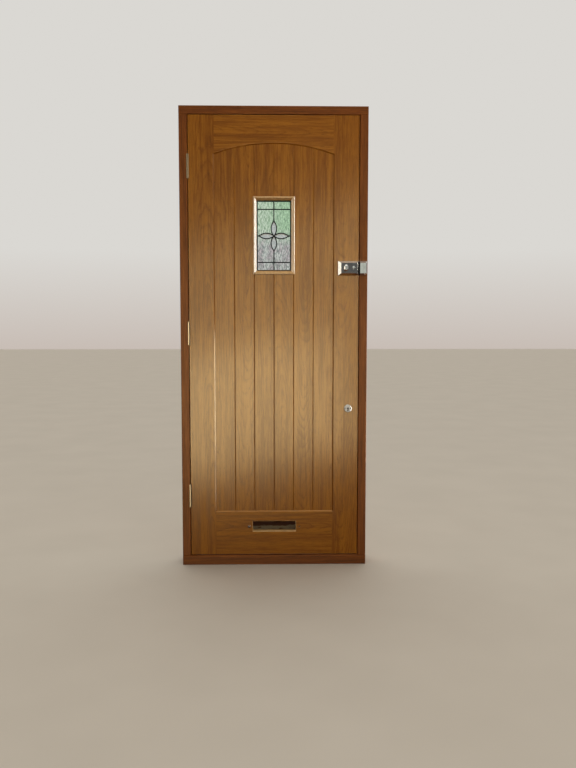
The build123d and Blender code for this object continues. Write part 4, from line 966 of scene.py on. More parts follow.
@dataclass
class ScrewDrawing:
    """Countersunk wood screws with a cross recess and a rolled thread, drawn in one bmesh."""

    shape: Shape
    facets: int = 28
    rim_mm: float = 0.12
    head_slope: float = 1.05
    neck_share: float = 0.82
    neck_mm: float = 0.4
    core_share: float = 0.8
    point_mm: float = 4.0
    tip_mm: float = 0.12
    recess_share: float = 0.62
    recess_taper: float = 0.55
    recess_depth: float = 0.9
    arm_share: float = 0.17
    pitch_mm: float = 1.9
    thread_start: float = 0.32
    thread_lead_mm: float = 1.0
    thread_stop_mm: float = 1.5
    least_turns: int = 2
    turn_steps: int = 12
    ridge_mm: float = 0.45
    ridge_half_mm: float = 0.3
    root_share: float = 0.7
    fade_mm: float = 4.5
    fade_share: float = 0.3

    def draw(self, place: ScrewPlace) -> None:
        """Add one screw.

        Args:
            place: Where it sits and how big it is.
        """
        head, shank, length = place.head_radius, place.shank_radius, place.length
        depth = (head - shank) * self.head_slope
        neck, core = -length * self.thread_start, shank * self.core_share
        profile = [
            (head - self.rim_mm * MM, 0.0), (head, -self.rim_mm * MM), (shank, -depth),
            (shank, neck), (shank * self.neck_share, neck - self.neck_mm * MM),
            (core, -length + self.point_mm * MM), (self.tip_mm * MM, -length),
        ]
        rows = [
            circle(Vector((0.0, 0.0, z)), RIGHT, OUTWARDS, radius, self.facets)
            for radius, z in profile
        ]
        rings = loft(self.shape, rows, (False, True))
        made = [*chain(*rings), *self._cross(rings[0], head, depth), *self._thread(length, core)]
        matrix = place.matrix()
        for vert in made:
            vert.co = matrix @ vert.co

    def _cross(self, rim: list[Vert], head: float, depth: float) -> list[Vert]:
        """Sink the cross recess and close the head's face round it.

        Args:
            rim: Points of the head's rim.
            head: Radius of the head.
            depth: Depth of the head.

        Returns:
            The new points.
        """
        reach, arm = head * self.recess_share, head * self.arm_share
        corners = [
            Matrix.Rotation(quarter * math.pi / 2, 3, "Z") @ Vector((x, y, 0.0))
            for quarter in range(4)
            for x, y in ((reach, -arm), (reach, arm), (arm, arm))
        ]
        taper, floor = self.recess_taper, -depth * self.recess_depth
        sunk = [Vector((corner.x * taper, corner.y * taper, floor)) for corner in corners]
        top, low = loft(self.shape, [corners, sunk], (False, True))
        self._face_round(rim, top)
        return top + low

    def _face_round(self, rim: list[Vert], hole: list[Vert]) -> None:
        """Fill the flat face between the rim and the recess, quarter by quarter.

        Args:
            rim: Points of the head's rim.
            hole: Points of the recess, three to a quarter.
        """
        step, eighth = self.facets // 4, self.facets // 8
        for quarter in range(4):
            start = quarter * step - eighth
            arc = [rim[(start + i) % self.facets] for i in range(step + 1)]
            right, left, inner = hole[3 * quarter : 3 * quarter + 3]
            self.shape.faces.new([hole[3 * quarter - 1], *arc, inner, left, right])

    def _thread(self, length: float, core: float) -> list[Vert]:
        """Wind a ridge round the lower part of the shank.

        Args:
            length: Length of the screw.
            core: Radius of the shank between the turns.

        Returns:
            The new points, or none on a screw too short for a thread.
        """
        start = length * self.thread_start + self.thread_lead_mm * MM
        pitch = self.pitch_mm * MM
        turns = (length - self.thread_stop_mm * MM - start) / pitch
        if turns < self.least_turns:
            return []
        rows = []
        for i in range(int(turns * self.turn_steps) + 1):
            angle = i * math.tau / self.turn_steps
            z = -start - i * pitch / self.turn_steps
            taper = min(1.0, (length + z) / (self.fade_mm * MM), (i + 1) / self.turn_steps)
            outer = (core + self.ridge_mm * MM * taper) * min(1.0, self.fade_share + taper)
            root, half = core * self.root_share * taper, self.ridge_half_mm * MM
            out = Vector((math.cos(angle), math.sin(angle), 0.0))
            profile = ((root, half), (outer, 0.0), (root, -half))
            rows.append([out * radius + Vector((0.0, 0.0, z + lift)) for radius, lift in profile])
        return [*chain(*loft(self.shape, rows))]


# Sub-assemblies


@dataclass
class Assembly:
    """Shared work of the sub-assemblies: dressing nodes and noting what was made."""

    frame: dict[str, Any]

    def centre(self, node: str) -> Vector:
        """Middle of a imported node."""
        low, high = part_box(node)
        return (low + high) / 2

    def paint(self, node: str, material: Material) -> None:
        """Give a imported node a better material.

        Args:
            node: Name of the node, whose shape stays.
            material: Its finish.
        """
        for slot in self.frame["nodes"][node].material_slots:
            slot.material = material
        LOG.info("%s keeps its shape in %s", node, material.name)

    def dress(
        self,
        node: str,
        body: str,
        slot: str,
        material: Material,
        arris_mm: float,
        steps: int = 2,
    ) -> Piece:
        """Replace a node by a copy of it with rounded arrises.

        Args:
            node: Name of the node.
            body: Body that it moves with.
            slot: Material slot of the record.
            material: Its finish.
            arris_mm: Radius of the arrises.
            steps: Facets across each arris.

        Returns:
            The new piece.
        """
        shape = solid_of(node, self.frame)
        piece = rounded(put(f"dressed_{node}", shape, [material]), arris_mm, steps)
        return self.settle(piece, body, slot, node)

    def settle(self, piece: Piece, body: str, slot: str, *nodes: str) -> Piece:
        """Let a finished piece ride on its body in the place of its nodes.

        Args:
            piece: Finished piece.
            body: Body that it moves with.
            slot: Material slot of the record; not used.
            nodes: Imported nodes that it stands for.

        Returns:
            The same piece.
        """
        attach(piece, body)
        if nodes:
            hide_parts(*nodes)
        LOG.info("%s rides on %s", piece.name, body)
        return piece

    def drawn(
        self, name: str, shape: Shape, material: Material, body: str, slot: str, *nodes: str
    ) -> Piece:
        """Settle a piece that was drawn here, with its faces turned outwards.

        Args:
            name: Name of the new piece.
            shape: The drawn bmesh, which is freed.
            material: Its finish.
            body: Body that it moves with.
            slot: Material slot of the record.
            nodes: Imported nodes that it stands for.

        Returns:
            The new piece.
        """
        bmesh.ops.recalc_face_normals(shape, faces=shape.faces)
        return self.settle(put(name, shape, [material]), body, slot, *nodes)

    def timber(
        self, member: Member, body: str, slot: str, timber: Timber, arris_mm: float
    ) -> Piece:
        """Replace a wooden node by a copy with soft arrises and drawn grain.

        Args:
            member: The member and its log.
            body: Body that it moves with.
            slot: Material slot of the record.
            timber: Kind of timber and its finish.
            arris_mm: Radius of the arrises.

        Returns:
            The new piece.
        """
        material = timber.material(member, self.centre(member.node))
        piece = self.dress(member.node, body, slot, material, arris_mm)
        lit_pieces(Reach.TIMBER).objects.link(piece)
        return piece

    def lengths(self, node: str, body: str, slot: str, timber: Timber, arris_mm: float) -> Piece:
        """Dress a node of several wooden lengths, each with the grain along it.

        Args:
            node: Name of the node.
            body: Body that it moves with.
            slot: Material slot of the record.
            timber: Kind of timber and its finish.
            arris_mm: Radius of the arrises.

        Returns:
            The new piece.
        """
        shape = solid_of(node, self.frame)
        materials = []
        for number, faces in enumerate(islands(shape)):
            low, high = extent(faces)
            grain = Grain.LEVEL if high.x - low.x > high.z - low.z else Grain.UPRIGHT
            member = Member(f"{node}_{number}", grain, 14.0, 45.0, 0.6, seed=3.7 * number + 1.0)
            materials.append(timber.material(member, (low + high) / 2))
            for face in faces:
                face.material_index = number
        piece = rounded(put(f"dressed_{node}", shape, materials), arris_mm)
        lit_pieces(Reach.TIMBER).objects.link(piece)
        return self.settle(piece, body, slot, node)

    def screws(self, name: str, node: str, body: str, slot: str, material: Material) -> None:
        """Replace a group of plain screws by threaded ones with recessed heads.

        Args:
            name: Name of the new piece.
            node: Node that holds the group.
            body: Body that it moves with.
            slot: Material slot of the record.
            material: Its finish.
        """
        drawing = ScrewDrawing(bmesh.new())
        for place in screw_places(node, self.frame):
            drawing.draw(place)
        self.drawn(name, drawing.shape, material, body, slot, node)


@dataclass
class FrameTimbers(Assembly):
    """Sill, jambs, head, planted stops and weather seal of the frame."""

    arris_mm: float = 0.8
    seal_arris_mm: float = 0.5
    members: tuple[Member, ...] = (
        Member("hinge_jamb", pith_across_mm=70.0, pith_behind_mm=35.0, lean_deg=0.4, seed=1.3),
        Member("lock_jamb", pith_across_mm=-64.0, pith_behind_mm=30.0, lean_deg=0.5, seed=2.9),
        Member("frame_head", Grain.LEVEL, 60.0, 40.0, 0.5, seed=4.2, tone=-0.15),
        Member("sill", Grain.LEVEL, 35.0, 55.0, 0.6, seed=6.1, tone=-0.1),
    )

    def build(self) -> None:
        """Dress the timbers and lay in the seal."""
        for member in self.members:
            self.timber(member, "frame", "frame_hardwood", STAINED_HARDWOOD, self.arris_mm)
        self.lengths("frame_stops", "frame", "frame_hardwood", STAINED_HARDWOOD, self.arris_mm)
        rubber = ExtrudedRubber().material()
        self.dress("weather_seals", "frame", "seal_rubber", rubber, self.seal_arris_mm)


@dataclass
class LeafTimbers(Assembly):
    """Stiles, rails and boards of the leaf, with the raw sawn faces of the letter slot."""

    arris_mm: float = 0.9
    board_arris_mm: float = 0.7
    raw_half_width_mm: float = 140.0
    raw_above_mm: float = 12.0
    raw_below_mm: float = 40.0
    raw_facing: float = 0.5
    boards: tuple[Member, ...] = (
        Member("board_1", Grain.UPRIGHT, -26.0, 62.0, 1.0, seed=11.7, tone=0.0),
        Member("board_2", Grain.UPRIGHT, 16.0, 48.0, -3.2, seed=13.1, tone=0.08),
        Member("board_3", Grain.UPRIGHT, 34.0, 70.0, 1.4, seed=17.9, tone=-0.04),
        Member("board_4", Grain.UPRIGHT, -6.0, 56.0, 3.8, seed=19.3, tone=0.05),
        Member("board_5", Grain.UPRIGHT, 9.0, 44.0, -4.4, seed=23.5, tone=-0.05),
        Member("board_6", Grain.UPRIGHT, 42.0, 64.0, 1.2, seed=29.2, tone=0.03),
    )
    framing: tuple[Member, ...] = (
        Member("hinge_stile", Grain.UPRIGHT, 30.0, 58.0, 2.6, seed=31.4, tone=0.02),
        Member("lock_stile", Grain.UPRIGHT, -18.0, 60.0, -3.0, seed=37.8),
        Member("top_rail", Grain.LEVEL, 12.0, 52.0, 3.4, seed=41.6, tone=-0.03),
    )
    bottom: Member = Member("bottom_rail", Grain.LEVEL, 24.0, 66.0, 1.8, seed=43.9, tone=0.1)

    def build(self) -> None:
        """Dress the boards and the framing."""
        for member in self.boards:
            self.timber(member, "leaf", "leaf_oak", SATIN_OAK, self.board_arris_mm)
        for member in self.framing:
            self.timber(member, "leaf", "leaf_oak", SATIN_OAK, self.arris_mm)
        self.bottom_rail()

    def bottom_rail(self) -> None:
        """Bottom rail, whose slot and bolt holes were cut after varnishing and stay raw."""
        node = self.bottom.node
        shape = solid_of(node, self.frame)
        low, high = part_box(node)
        bottom, top = low.z + self.raw_above_mm * MM, high.z - self.raw_below_mm * MM
        for face in shape.faces:
            middle = face.calc_center_median()
            inside = abs(middle.x) < self.raw_half_width_mm * MM and bottom < middle.z < top
            if inside and abs(face.normal.y) < self.raw_facing:
                face.material_index = 1
        centre = self.centre(node)
        varnished = SATIN_OAK.material(self.bottom, centre)
        slot = Member("letter_slot", Grain.LEVEL, 30.0, 60.0, 1.0, seed=47.0)
        raw = RAW_OAK.material(slot, centre)
        piece = rounded(put(f"dressed_{node}", shape, [varnished, raw]), self.arris_mm)
        lit_pieces(Reach.TIMBER).objects.link(piece)
        self.settle(piece, "leaf", "leaf_oak", node)


@dataclass
class SlotEdge(Assembly):
    """Torn pale fibre that the saw left along the edges of the letter slot."""

    slot_half_width_mm: float = 100.0
    slot_low_mm: float = 153.5
    slot_high_mm: float = 204.5
    face_mm: float = -22.0
    depth_mm: float = 26.0
    lip_left_mm: float = 1.2
    lip_right_mm: float = 6.0
    lip_curve: float = 1.6
    lip_least_mm: float = 0.35
    wave_mm: float = 1.8
    wave_length_mm: float = 17.0
    ripple_share: float = 0.35
    ripple_length_mm: float = 4.5
    foot_mm: float = 0.5
    brow_mm: float = 0.6
    brow_drop_mm: float = 0.5
    crest_mm: float = 2.2
    heel_mm: float = 6.0
    heel_lean: float = 4.0
    heel_share: float = 0.25
    lean_mm: float = 0.8
    lean_length_mm: float = 9.0
    steps: int = 120
    end_gap_mm: float = 0.1
    rim_mm: float = 1.5
    root_mm: float = 0.02
    # Share of the rim's rise, and how deep in the slot that lies
    rim_profile: tuple[Span, ...] = ((0.0, 0.3), (1.0, 0.9), (0.7, 3.0), (0.0, 9.0))
    rim_step_mm: float = 3.0
    rim_least_steps: int = 8
    tear_share: float = 0.5
    tear_steps: float = 2.3
    tear_length_mm: float = 40.0

    def build(self) -> None:
        """Build the lip and the rims, and let them ride on the leaf."""
        shape = bmesh.new()
        self._strip(shape)
        x, low, high = self.slot_half_width_mm, self.slot_low_mm, self.slot_high_mm
        corners = [Vector(corner) for corner in ((-x, low), (-x, high), (x, high), (x, low))]
        for start, end in zip(corners, corners[1:]):
            self._rim(shape, start, end)
        lip = Member("slot_lip", Grain.LEVEL, 20.0, 50.0, 1.0, seed=53.0, tone=0.15)
        raw = RAW_OAK.material(lip, Vector((0.0, self.face_mm * MM, self.slot_low_mm * MM)))
        piece = self.drawn("slot_torn_edge", shape, raw, "leaf", "leaf_oak")
        lit_pieces(Reach.TIMBER).objects.link(piece)

    def _rim(self, shape: Shape, start: Vector, end: Vector) -> None:
        """Add a thin raw rim along one edge of the slot.

        Args:
            shape: Bmesh that takes the rim.
            start: First corner, X and Z in mm.
            end: Next corner clockwise, X and Z in mm.
        """
        along = (end - start).normalized()
        inward = Vector((along.y, -along.x))
        count = max(self.rim_least_steps, int((end - start).length / self.rim_step_mm))
        rows = []
        for i in range(count + 1):
            spot = start.lerp(end, i / count)
            place = Vector((i / self.tear_steps, *(spot / self.tear_length_mm)))
            rise = self.rim_mm * (1 + self.tear_share * noise.noise(place))
            row = []
            for share, deep in self.rim_profile:
                point = spot + inward * max(self.root_mm, rise * share)
                row.append(Vector((point.x, self.face_mm + deep, point.y)) * MM)
            rows.append(row)
        loft(shape, rows)

    def _height(self, share: float) -> float:
        """Find the height of the lip above the slot's floor.

        Args:
            share: Share of the slot's width, from 0 to 1.

        Returns:
            The height in mm.
        """
        along = share * 2 * self.slot_half_width_mm
        low = self.lip_left_mm + (self.lip_right_mm - self.lip_left_mm) * share**self.lip_curve
        wave = noise.noise(Vector((along / self.wave_length_mm, 3.1, 0.0))) * self.wave_mm
        ripple = noise.noise(Vector((along / self.ripple_length_mm, 8.7, 0.0)))
        return max(self.lip_least_mm, low + wave + ripple * self.wave_mm * self.ripple_share)

    def _strip(self, shape: Shape) -> None:
        """Add a sloping strip on the floor of the slot, high at the room's side.

        Args:
            shape: Bmesh that takes the strip.
        """
        half = self.slot_half_width_mm - self.end_gap_mm
        face, floor, back = self.face_mm, self.slot_low_mm, self.face_mm + self.depth_mm
        rows = []
        for i in range(self.steps + 1):
            share = i / self.steps
            x = -half + 2 * half * share
            rise = self._height(share)
            lean = self.lean_mm * noise.noise(Vector((x / self.lean_length_mm, 1.3, 0.0)))
            profile = (
                (face + self.foot_mm, 0.0), (face + self.brow_mm, rise - self.brow_drop_mm),
                (face + self.crest_mm + lean, rise),
                (back - self.heel_mm + self.heel_lean * lean, self.heel_share * rise),
                (back, 0.0),
            )
            rows.append([Vector((x, y, floor + lift)) * MM for y, lift in profile])
        loft(shape, rows)


@dataclass
class LeadedLight(Assembly):
    """Beads, lead network, solder, quarries and bevelled petals of the small window."""

    crossbar_rise_mm: float = 118.0
    border_half_mm: float = 4.25
    tip_spare_mm: float = 2.0
    bead_arris_mm: float = 0.9
    lead_arris_mm: float = 0.6
    solder_radius_mm: float = 4.0
    solder_rise_mm: float = 0.9
    solder_sink_mm: float = 0.05
    solder_spread: Span = (0.8, 1.1)
    solder_sides: int = 18
    solder_rows: int = 4
    solder_seed: int = 5
    # Share of the radius, waves round the drop and start of each waver of its edge
    solder_wavers: tuple[tuple[float, int, int], ...] = ((0.12, 3, 0), (0.06, 5, 1))

    def build(self) -> None:
        """Dress the light from both sides."""
        for node in ("inner_glazing_beads", "outer_glazing_beads"):
            beads = self.lengths(node, "leaf", "leaf_oak", PALE_OAK, self.bead_arris_mm)
            lit_pieces(Reach.BEADS).objects.link(beads)
        self.dress("lead_cames", "leaf", "came_lead", PATINATED_LEAD.material(), self.lead_arris_mm)
        self.paint("glass_quarries", StreakyGlass().material())
        self.paint("bevel_petals", BevelledGlass().material())
        self.solder()

    def joints(self) -> list[Span]:
        """Find the crossings of the network.

        Returns:
            Their X and Z, measured from the middle of the light.
        """
        low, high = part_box("lead_cames")
        inset = self.border_half_mm * MM
        side_x, side_z = (high.x - low.x) / 2 - inset, (high.z - low.z) / 2 - inset
        petal_low, petal_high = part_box("bevel_petals")
        tip = (petal_high.z - petal_low.z) / 2 + self.tip_spare_mm * MM
        rise = self.crossbar_rise_mm * MM
        found = [(0.0, 0.0)]
        for sign in (-1, 1):
            found += [(0.0, sign * tip), (sign * tip, 0.0)]
            found += [(0.0, sign * side_z), (sign * side_x, 0.0), (0.0, sign * rise)]
            for side in (-1, 1):
                found += [(side * side_x, sign * rise), (side * side_x, sign * side_z)]
        return found

    def solder(self) -> None:
        """Flattened drops of solder on every crossing, on both faces."""
        shape = bmesh.new()
        rng = random.Random(self.solder_seed)
        low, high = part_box("lead_cames")
        middle = (low + high) / 2
        for x, z in self.joints():
            for face_y, side in ((low.y, -1), (high.y, 1)):
                self._drop(shape, Vector((middle.x + x, face_y, middle.z + z)), side, rng)
        self.drawn("solder_joints", shape, SOLDER.material(), "leaf", "came_lead")

    def _drop(self, shape: Shape, at: Vector, side: int, rng: random.Random) -> None:
        """Add one low irregular dome.

        Args:
            shape: Bmesh that takes the drop.
            at: Middle of its foot.
            side: Way that it rises along Y, -1 or 1.
            rng: Source of its size and turn.
        """
        radius = self.solder_radius_mm * MM * rng.uniform(*self.solder_spread)
        rise = self.solder_rise_mm * MM * rng.uniform(*self.solder_spread)
        turn = rng.uniform(0, math.tau)
        rows = []
        for number in range(self.solder_rows):
            angle = number / self.solder_rows * math.pi / 2
            y = at.y + side * (rise * math.sin(angle) - self.solder_sink_mm * MM)
            row = []
            for k in range(self.solder_sides):
                around = turn + k * math.tau / self.solder_sides
                waver = sum(a * math.sin(n * around + b) for a, n, b in self.solder_wavers)
                reach = radius * math.cos(angle) * (1 + waver)
                x, z = at.x + reach * math.cos(around), at.z + reach * math.sin(around)
                row.append(Vector((x, y, z)))
            rows.append(row)
        ring = loft(shape, rows, (True, False))[-1]
        top = shape.verts.new((at.x, at.y + side * rise, at.z))
        for k in range(self.solder_sides):
            shape.faces.new((ring[k - 1], ring[k], top))


@dataclass
class ButtHinges(Assembly):
    """Three butt hinges with their screws."""

    names: tuple[str, ...] = ("top", "middle", "bottom")
    arris_mm: float = 0.35

    def build(self) -> None:
        """Dress the flaps and pins, and draw the screws."""
        steel = SATIN_STEEL.material()
        for name in self.names:
            for part, body in (("frame_flap", "frame"), ("door_flap", "leaf"), ("pin", "frame")):
                node = f"{name}_hinge_{part}"
                piece = self.dress(node, body, "hinge_steel", steel, self.arris_mm)
                lit_pieces(Reach.HINGES).objects.link(piece)
        screw = BRIGHT_SCREW.material()
        self.screws("jamb_hinge_screws", "hinge_screws_frame", "frame", "screw_steel", screw)
        self.screws("leaf_hinge_screws", "hinge_screws_door", "leaf", "screw_steel", screw)


@dataclass
class NightLatch(Assembly):
    """Rim night latch, its staple and its cylinder."""

    casting_arris_mm: float = 0.9
    face_arris_mm: float = 0.7
    fine_arris_mm: float = 0.4
    plug_arris_mm: float = 0.25
    screw_arris_mm: float = 0.3
    wire_mm: float = 1.0
    spring_spacing: float = 2.3

    def build(self) -> None:
        """Dress the castings, the works and the cylinder."""
        chrome = POLISHED_CHROME.material()
        steel = LOCK_STEEL.material()
        bolt = BOLT_STEEL.material()
        brass = CYLINDER_BRASS.material()
        screw = BRIGHT_SCREW.material()
        self.dress("latch_housing", "leaf", "polished_chrome", chrome, self.casting_arris_mm, 3)
        for node, body in (
            ("latch_staple", "frame"), ("latch_knob", "latch_knob"), ("latch_snib", "latch_snib"),
        ):
            face = self.dress(node, body, "polished_chrome", chrome, self.face_arris_mm, 3)
            lit_pieces(Reach.LATCH_FACES).objects.link(face)
        self.dress("cylinder_ring", "leaf", "polished_chrome", chrome, self.fine_arris_mm, 3)
        for node, body, slot, metal, arris_mm in (
            ("latch_bolt", "latch_bolt", "bolt_steel", bolt, self.fine_arris_mm),
            ("latch_follower", "latch_knob", "lock_steel", steel, self.fine_arris_mm),
            ("latch_backplate", "leaf", "lock_steel", steel, self.fine_arris_mm),
            ("cylinder_body", "leaf", "cylinder_brass", brass, self.fine_arris_mm),
            ("cylinder_plug", "cylinder_plug", "cylinder_brass", brass, self.plug_arris_mm),
            ("cylinder_screws", "leaf", "screw_steel", screw, self.screw_arris_mm),
        ):
            self.dress(node, body, slot, metal, arris_mm)
        self.screws("latch_fixing_screws", "latch_screws", "leaf", "screw_steel", screw)
        self.screws("jamb_lock_screws", "lock_jamb_screws", "frame", "screw_steel", screw)
        self.spring()

    def spring(self) -> None:
        """Closed-up coil of the bolt's spring."""
        low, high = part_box("latch_spring")
        middle = (low + high) / 2
        wire = self.wire_mm * MM / 2
        start, end = (Vector((x, middle.y, middle.z)) for x in (low.x + wire, high.x - wire))
        shape = bmesh.new()
        coil(shape, start, end, (high.z - low.z) / 2 - wire, wire, self.spring_spacing)
        metal = SPRING_STEEL.material()
        self.drawn("coiled_latch_spring", shape, metal, "leaf", "lock_steel", "latch_spring")


@dataclass
class Deadlock(Assembly):
    """Mortice deadlock, its keep and the keyhole plates."""

    arris_mm: float = 0.4
    case_wall_mm: float = 2.0
    lever_count: int = 5
    lever_sheet_mm: float = 1.3
    lever_pitch_mm: float = 1.9
    lever_length_mm: float = 21.0
    lever_spare_mm: float = 0.6
    lever_facets: int = 12

    def build(self) -> None:
        """Dress the lock and its plates."""
        steel = LOCK_STEEL.material()
        chrome = POLISHED_CHROME.material()
        screw = BRIGHT_SCREW.material()
        for node in ("lock_case", "lock_case_cap", "deadlock_forend"):
            self.dress(node, "leaf", "lock_steel", steel, self.arris_mm)
        self.dress("deadlock_keep", "frame", "lock_steel", steel, self.arris_mm)
        self.dress("deadbolt", "deadbolt", "bolt_steel", BOLT_STEEL.material(), self.arris_mm)
        for node in ("inner_escutcheon", "outer_escutcheon"):
            plate = self.dress(node, "leaf", "polished_chrome", chrome, self.arris_mm, 3)
            lit_pieces(Reach.LATCH_FACES).objects.link(plate)
        self.levers()
        self.screws("forend_fixing_screws", "forend_screws", "leaf", "screw_steel", screw)
        self.screws("escutcheon_pins", "escutcheon_screws", "leaf", "screw_steel", screw)

    def levers(self) -> None:
        """Pack of sprung levers in the lock, which closes the view through the keyhole."""
        case_low, case_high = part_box("lock_case")
        bolt_low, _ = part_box("deadbolt")
        margin, spare = (self.case_wall_mm + self.lever_spare_mm) * MM, self.lever_spare_mm * MM
        low_z, high_z = case_low.z + margin, bolt_low.z - spare
        radius, middle_z = (high_z - low_z) / 2, (low_z + high_z) / 2
        left = case_low.x + margin + radius
        right = left + self.lever_length_mm * MM
        turns = [i * math.pi / self.lever_facets for i in range(self.lever_facets + 1)]
        outline = [
            (end + radius * math.sin(start + turn), middle_z + radius * math.cos(start + turn))
            for end, start in ((right, 0.0), (left, math.pi))
            for turn in turns
        ]
        half = self.lever_sheet_mm * MM / 2
        shape = bmesh.new()
        for number in range(self.lever_count):
            place = number - (self.lever_count - 1) / 2
            y = (case_low.y + case_high.y) / 2 + place * self.lever_pitch_mm * MM
            faces = (y - half, y + half)
            loft(shape, [[Vector((x, face, z)) for x, z in outline] for face in faces])
        self.drawn("lever_pack", shape, LOCK_STEEL.material(), "leaf", "lock_steel")


@dataclass
class LetterPlate(Assembly):
    """Letter plate, its bolts and its sprung flap."""

    arris_mm: float = 0.5
    bolt_arris_mm: float = 0.4
    rod_arris_mm: float = 0.2
    wire_mm: float = 0.8
    spring_spacing: float = 2.15
    outward: float = 0.3

    def build(self) -> None:
        """Dress the plate, the flap and the bolts."""
        # The flap and the back of the plate share one finish with a painted reflection above and a
        # painted highlight along the foot
        painted_reflection_back = PaintedReflectionFlapBack().material()
        screw, steel = BRIGHT_SCREW.material(), LOCK_STEEL.material()
        self.plate(painted_reflection_back)
        self.dress("letter_plate_bolts", "leaf", "screw_steel", screw, self.bolt_arris_mm)
        self.dress("letter_flap", "letter_flap", "flap_metal", painted_reflection_back, self.arris_mm)
        self.dress("flap_rod", "leaf", "lock_steel", steel, self.rod_arris_mm)
        self.spring()

    def plate(self, painted_reflection_back: Material) -> None:
        """Dress the plate, which is chromed outdoors only; its back takes the same painted
        reflection and painted highlight as the flap.

        Args:
            painted_reflection_back: Finish of the back with its painted reflection and painted
                highlight, as on the flap.
        """
        shape = solid_of("letter_plate", self.frame)
        for face in shape.faces:
            face.material_index = 0 if face.normal.y > self.outward else 1
        piece = put("dressed_letter_plate", shape, [PLATE_CHROME.material(), painted_reflection_back])
        self.settle(rounded(piece, self.arris_mm, 3), "leaf", "plate_chrome", "letter_plate")

    def spring(self) -> None:
        """Coil round the flap's rod with a leg that lies on the flap."""
        shape = solid_of("flap_spring", self.frame)
        low, high = extent(shape.faces)
        shape.free()
        rod_low, rod_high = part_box("flap_rod")
        axis = (rod_low + rod_high) / 2
        wire = self.wire_mm * MM / 2
        radius = high.z - axis.z - wire
        start, end = (Vector((x, axis.y, axis.z)) for x in (low.x + wire, high.x - wire))
        leg = [Vector((end.x, low.y + wire, z)) for z in (axis.z - radius, low.z)]
        shape = bmesh.new()
        coil(shape, start, end, radius, wire, self.spring_spacing)
        loft(shape, [circle(middle, RIGHT, OUTWARDS, wire, WIRE_SIDES) for middle in leg])
        metal = SPRING_STEEL.material()
        self.drawn("coiled_flap_spring", shape, metal, "letter_flap", "lock_steel", "flap_spring")


# Studio


@dataclass(frozen=True)
class SoftLight:
    """One rectangular studio lamp."""

    name: str
    place: tuple[float, float, float]
    target: tuple[float, float, float]
    width: float
    height: float
    watts: float
    colour: str
    roll_deg: float = 0.0
    reach: Reach = Reach.DOOR
    lights_matt: bool = True
    seen_in_gloss: bool = True


